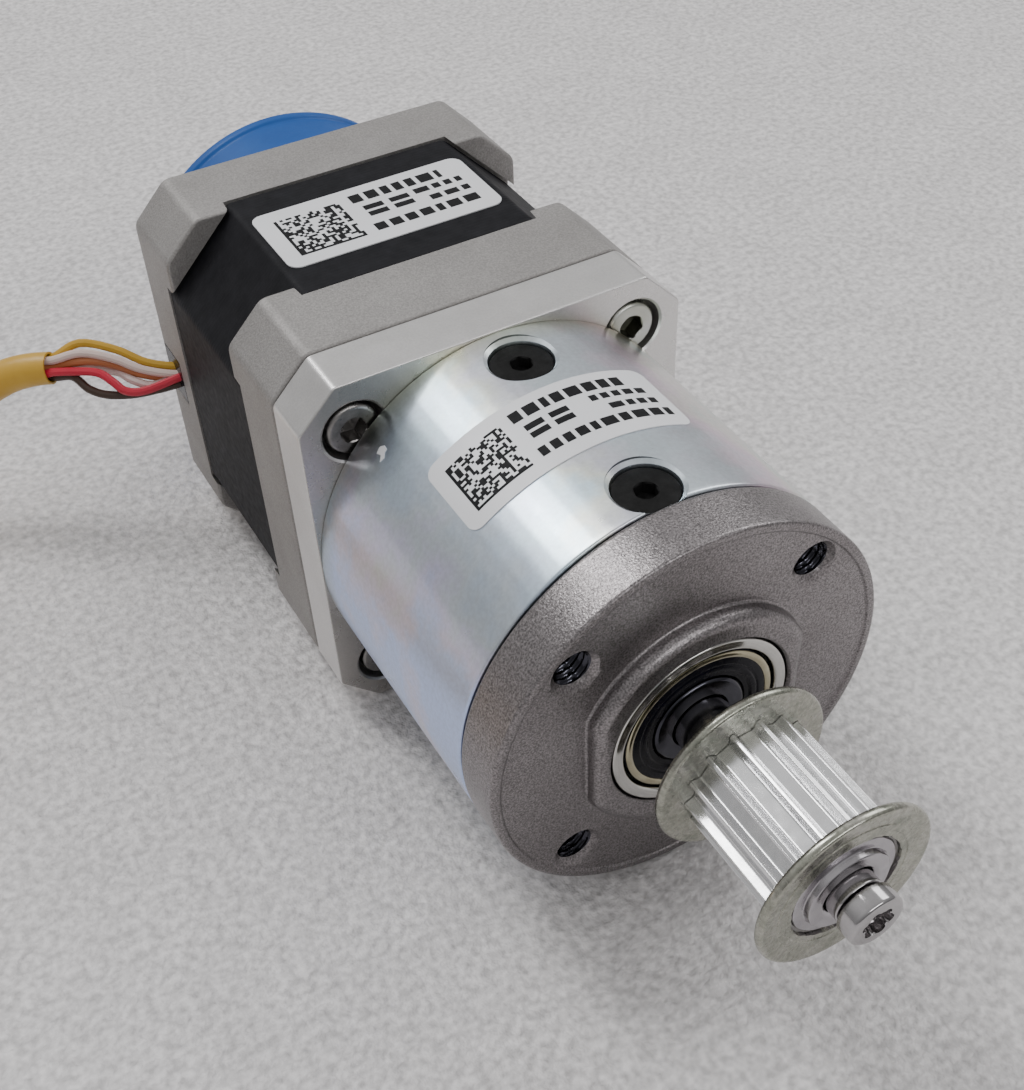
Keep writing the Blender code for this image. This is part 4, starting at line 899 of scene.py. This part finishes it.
def labels():
    wide = radians(TUBE_LABEL_TURN[1] - TUBE_LABEL_TURN[0]) * TUBE_R
    v0, v1 = TUBE_LABEL_Y
    base = TUBE_R + 0.01
    top = base + FILM_THICK
    film = wrapped(-wide / 2, wide / 2, v0, v1, base, top, 48, 1.2)
    marks = print_marks(wide, v1 - v0, 5)
    middle = (v0 + v1) / 2
    shapes = [wrapped(a, b, middle + c, middle + d, top - 0.005, top + PRINT_THICK,
                      max(1, round((b - a) / 0.4))) for a, b, c, d in marks]
    nameplate("gearbox_nameplate", "gearbox_label", film, shapes)

    wide, deep = MOTOR_LABEL_SIZE
    base = STACK_HALF + 0.01
    top = base + FILM_THICK
    film = place(flat_plate(-wide / 2, wide / 2, -deep / 2, deep / 2, base, top, 1.3), y=MOTOR_LABEL_Y)
    marks = print_marks(wide, deep, 11)
    shapes = [flat_plate(a, b, MOTOR_LABEL_Y + c, MOTOR_LABEL_Y + d, top - 0.005, top + PRINT_THICK)
              for a, b, c, d in marks]
    nameplate("motor_nameplate", "motor_label", film, shapes)


def tube_scuff():
    """A small pale scrap stuck to the tube beside the plate's left screw, in degrees and places along Y."""
    outline = ((132.2, -1.1), (133.4, -0.7), (135.2, -0.9), (134.6, -1.5), (136.0, -1.95), (134.4, -2.1),
               (133.4, -1.7), (132.4, -1.65))
    loops = [[(r * cos(radians(a)), y, r * sin(radians(a))) for a, y in outline]
             for r in (TUBE_R + 0.01, TUBE_R + 0.06)]
    finish(("tube_scuff", skin(loops)), FILM, slot="label_film")


# ---- camera, floor and light

LAMP_TARGET = Vector((0, 0, 0.02))


def stage():
    camera = bpy.data.cameras.new("camera")
    camera.lens = 48.79
    camera.shift_x, camera.shift_y = -0.0522, 0.0423
    camera.clip_start = 0.005
    made = put("camera", camera)
    made.location = (-0.05395, -0.10097, 0.12409)
    made.rotation_euler = [radians(a) for a in (44.824, 0.515, -31.318)]
    bpy.context.scene.camera = made

    bm = bmesh.new()
    bmesh.ops.create_grid(bm, x_segments=8, y_segments=8, size=1.5)
    mesh = bpy.data.meshes.new("floor")
    bm.to_mesh(mesh)
    bm.free()
    floor = put("floor", mesh)
    floor.location.z = -0.0003
    pale = look("pale foam sheet", None, [(0.36, (0.65, 0.628, 0.628)), (0.64, (0.705, 0.682, 0.682))], 0.1,
                (0.42, 0.58), 0.0, [(0.45, 0.36), (1.1, 0.3)], speckle=(0.95, 0.77, 1.25))
    mesh.materials.append(pale)

    world = bpy.data.worlds.new("room")
    bpy.context.scene.world = world
    world.use_nodes = True
    tree = world.node_tree
    height = spread(tree, coordinate(tree, "Z", "Generated"), 0.0, 1.0, 0.0, 1.0)
    shade = ramp(tree, height, [(0.0, 0.29), (0.2, 0.31), (0.45, 0.42), (0.75, 0.56), (1.0, 0.53)])
    shade = multiplied(tree, shade, spread(tree, coordinate(tree, "Y", "Generated"), 0.7, 1.1, -0.7, 0.5))
    background = tree.nodes["Background"]
    tree.links.new(shade, background.inputs["Color"])
    background.inputs["Strength"].default_value = 1.2

    for name, where, size, power in (("ceiling", (-0.22, 0.5, 0.82), (0.21, 0.5), 4.1),
                                     ("window", (0.85, 0.2, 0.75), (0.6, 0.5), 3.0),
                                     ("doorway", (0.12, -0.74, 0.62), (0.75, 0.12), 2.1)):
        lamp = bpy.data.lights.new(name, "AREA")
        lamp.shape = "RECTANGLE"
        lamp.size, lamp.size_y = size
        lamp.energy = power
        lamp_object = put(name, lamp)
        lamp_object.location = where
        lamp_object.rotation_euler = (LAMP_TARGET - Vector(where)).to_track_quat("-Z", "Y").to_euler()


# ---- leads

def smooth_route(points, per_span):
    """A Catmull-Rom curve through the route's own points."""
    ends = [2 * points[0] - points[1], *points, 2 * points[-1] - points[-2]]
    made = []
    for k in range(1, len(ends) - 2):
        p0, p1, p2, p3 = ends[k - 1:k + 3]
        for step in range(per_span):
            t = step / per_span
            made.append(0.5 * (2 * p1 + (p2 - p0) * t + (2 * p0 - 5 * p1 + 4 * p2 - p3) * t * t
                               + (3 * p1 - p0 - 3 * p2 + p3) * t ** 3))
    made.append(points[-1])
    return made


def frames(points):
    """A side vector and an up vector at each point, turned as little as possible from one to the next."""
    made = []
    side = None
    for k, point in enumerate(points):
        ahead = (points[min(k + 1, len(points) - 1)] - points[max(k - 1, 0)]).normalized()
        if side is None:
            side = ahead.cross(Vector((0, 0, 1))).normalized()
        side = (side - ahead * side.dot(ahead)).normalized()
        made.append((side, side.cross(ahead)))
    return made


def tube_shape(points, radii, sides):
    """A tube's skin for each radius: one closed bar, or a pipe if there are two radii."""
    loops = []
    turns = frames(points)
    for number, radius in enumerate(radii):
        stretch = list(zip(points, turns))
        if number:
            stretch.reverse()
        for point, (side, up) in stretch:
            size = radius(points.index(point)) if callable(radius) else radius
            loops.append([tuple(point + side * size * cos(a) + up * size * sin(a))
                          for a in (2 * pi * k / sides for k in range(sides))])
    return skin(loops, closed=len(radii) > 1)


# The bundle's own points, as X, Y and height over the floor, the same as the solid that it replaces.
BUNDLE_ROUTE = (
    (-21.8, 43.25, 19.6), (-24.8, 43.65, 19.9), (-33.6, 50.55, 20.7), (-40.5, 54.85, 18.0),
    (-48.0, 56.85, 11.4), (-56.0, 57.45, 4.6), (-65.6, 57.45, 2.6),
)
BUNDLE_R = 2.1
COIL_CENTRE = Vector((-81.0, 33.75, 2.5))
COIL_R = 23.6
COIL_TURNS = 1.55
SLEEVE_START = Vector(BUNDLE_ROUTE[2])

# Each wire's colour and its way from the motor to the sleeve: the share of the way, then millimetres up and
# towards the photo's viewer.
WIRES = {
    "yellow": ((0.54, 0.31, 0.025),
               ((0.0, 0.7, 0.3), (0.25, 1.0, 0.3), (0.5, 2.4, 0.2), (0.78, 3.0, 0.1), (0.97, 1.35, 0.0))),
    "white": ((0.70, 0.55, 0.50),
              ((0.0, -0.3, 0.6), (0.28, 0.1, 0.7), (0.5, 1.2, 0.6), (0.76, 1.75, 0.6), (0.97, 0.75, 0.9))),
    "orange": ((0.48, 0.16, 0.06),
               ((0.0, -0.6, -0.3), (0.28, -0.4, 0.0), (0.48, 0.5, 0.0), (0.72, 0.9, 0.2),
                (0.97, 0.25, 0.0))),
    "red": ((0.58, 0.02, 0.05),
            ((0.0, -0.8, 0.9), (0.25, -2.4, 0.9), (0.4, -2.5, 0.9), (0.5, -1.5, 0.9), (0.62, -0.5, 0.8),
             (0.8, -0.4, 0.6), (0.97, -0.6, 0.9))),
    "pale": ((0.72, 0.58, 0.55),
             ((0.0, -0.5, 0.2), (0.2, -1.6, 0.1), (0.36, -1.1, 0.1), (0.5, -0.1, -0.7), (0.75, 0.2, -0.9),
              (0.97, 0.3, -0.9))),
    "brown": ((0.055, 0.03, 0.02),
              ((0.0, -1.2, -0.6), (0.2, -2.2, -0.3), (0.38, -2.8, -0.1), (0.56, -2.9, 0.0),
               (0.7, -2.3, 0.0), (0.83, -0.9, -0.2), (0.97, -1.0, -0.4))),
}
WIRE_R = 0.5


def coil_radius(turns):
    """How far from the coil's centre the sleeve runs after so many turns."""
    return COIL_R - 2 * (BUNDLE_R + 0.02) * turns


def coil_tie():
    """A strap round the coil's two strands, a quarter turn after the coil's start, with its lock on top."""
    thick, wide, clear = 0.32, 2.6, 0.03
    near, far = coil_radius(1.25), coil_radius(0.25)
    path = []
    for middle, start in ((far, -90), (near, 90)):
        for step in range(19):
            a = radians(start + 10 * step)
            path.append((middle, cos(a), sin(a)))
    band = soften(rectangle(0.0, thick, -wide / 2, wide / 2), 0.1, 3, closed=True)
    loops = []
    for middle, out, up in path:
        loop = []
        for depth, side in band:
            r = BUNDLE_R + clear + depth
            loop.append((COIL_CENTRE.x - middle - r * out, COIL_CENTRE.y + side, COIL_CENTRE.z + r * up))
        loops.append(loop)
    strap = skin(loops, closed=True)
    x, top = COIL_CENTRE.x - (near + far) / 2, COIL_CENTRE.z + BUNDLE_R + clear + thick
    outline = soften([(x - 2.0, top - 0.05), (x + 2.0, top - 0.05), (x + 1.8, top + 1.5),
                      (x - 1.8, top + 1.5)], 0.4, 4, closed=True)
    lock = prism(outline, COIL_CENTRE.y - 2.1, COIL_CENTRE.y + 2.1, 0.3)
    slack = soften(rectangle(x - 6.5, x - 1.5, top + 0.45, top + 0.75), 0.1, 3, closed=True)
    tail = prism(slack, COIL_CENTRE.y - wide / 2, COIL_CENTRE.y + wide / 2, 0.1)
    return finish(("coil_tie", place(joined([strap, lock, tail]), z=-LIFT.z)), NYLON)


def lead_set():
    start = Vector((GROMMET[0].x + 0.3, (GROMMET[0].y + GROMMET[1].y) / 2,
                    (GROMMET[0].z + GROMMET[1].z) / 2 + LIFT.z))
    way = smooth_route([Vector(p) for p in BUNDLE_ROUTE], 8)
    free = [p for p in way if p.x < SLEEVE_START.x + 0.01]
    coil = []
    steps = int(COIL_TURNS * 40)
    for k in range(1, steps + 1):
        turn = 2 * pi * COIL_TURNS * k / steps
        radius = coil_radius(COIL_TURNS * k / steps)
        angle = pi / 2 + turn
        coil.append(COIL_CENTRE + Vector((radius * cos(angle), radius * sin(angle), 0.0)))
    sleeve_way = free + coil
    cut_end = sleeve_way[-1]
    ahead = (sleeve_way[-1] - sleeve_way[-2]).normalized()
    inwards = (COIL_CENTRE - cut_end).normalized()

    def sleeve_r(k):
        return 1.9 + 0.2 * min(1.0, k / 7)

    bm = tube_shape(sleeve_way, (sleeve_r, 1.66), 24)
    place(bm, z=-LIFT.z)
    sleeve = finish(("lead_sleeve", bm), SLEEVE, "lead_tube", "lead_coil")
    coil_tie()

    span = SLEEVE_START - start
    lift = Vector((0.374, 0.603, 0.705))
    lift = (lift - span.normalized() * lift.dot(span.normalized())).normalized()
    near = lift.cross(span.normalized())
    turns = frames(sleeve_way)
    for number, (name, (colour, points)) in enumerate(WIRES.items()):
        out = [start + span * t + lift * up + near * towards for t, up, towards in points]
        out.insert(0, start + Vector((2.5, 0, 0)) + (out[0] - start) * 0.8)
        angle = 2 * pi * number / 5
        offset = 0.0 if number == 5 else 1.08
        inside = [p + (side * cos(angle) + up * sin(angle)) * offset
                  for p, (side, up) in list(zip(sleeve_way, turns))[3:-2]]
        loose = 14.0 + 2.5 * number
        bend = (number - 2.5) * 0.16
        tail = []
        for step in (0.35, 0.7, 1.0):
            here = cut_end + ahead * loose * step + inwards * (loose * step) ** 2 * (0.018 + bend * 0.012)
            here += inwards * offset * cos(angle) * 0.6 + inwards * (number - 2.5) * 1.3 * step
            here.z = COIL_CENTRE.z + (WIRE_R + 0.1 - COIL_CENTRE.z) * min(1.0, step * 1.4)
            tail.append(here)
        wire_way = smooth_route(out, 5) + inside + smooth_route([inside[-1]] + tail, 5)[1:]
        insulated = wire_way[:-5]
        body_colour = look(name + " insulation", "yellow_sleeve",
                           [(0.3, tuple(c * 0.9 for c in colour)), (0.7, colour)], 0.4, (0.3, 0.42), 0.0,
                           [(3.0, 0.006)])
        bare = finish((name + "_strands", place(tube_shape(wire_way[-7:], (0.3,), 8), z=-LIFT.z)), TINNED)
        wire = finish((name + "_wire", place(tube_shape(insulated, (WIRE_R,), 10), z=-LIFT.z)), body_colour)


stage()
lead_set()
gear_tube()
output_cover()
adapter_plate()
front_bell()
rear_bell()
lamination_pack()
protective_cap()
screws()
output_bearing()
output_shaft()
pulley()
labels()
tube_scuff()

# The CAD's own nodes, the hidden ones among them, take the look of their slot.
SLOT_LOOKS = {look["slot"]: look for look in (CAST, PLATE_LOOK, ZINC, STEEL, BLACK_OXIDE, GEAR, LACQUER,
                                             COPPER, MAGNET, SEAL, BLUE, FILM, SLEEVE)}
slot_of = {part["node"]: part["material_slot"] for part in frame["record"]["subparts"]}
for name, node_object in frame["nodes"].items():
    for material_slot in node_object.material_slots:
        material_slot.material = SLOT_LOOKS[slot_of[name]]
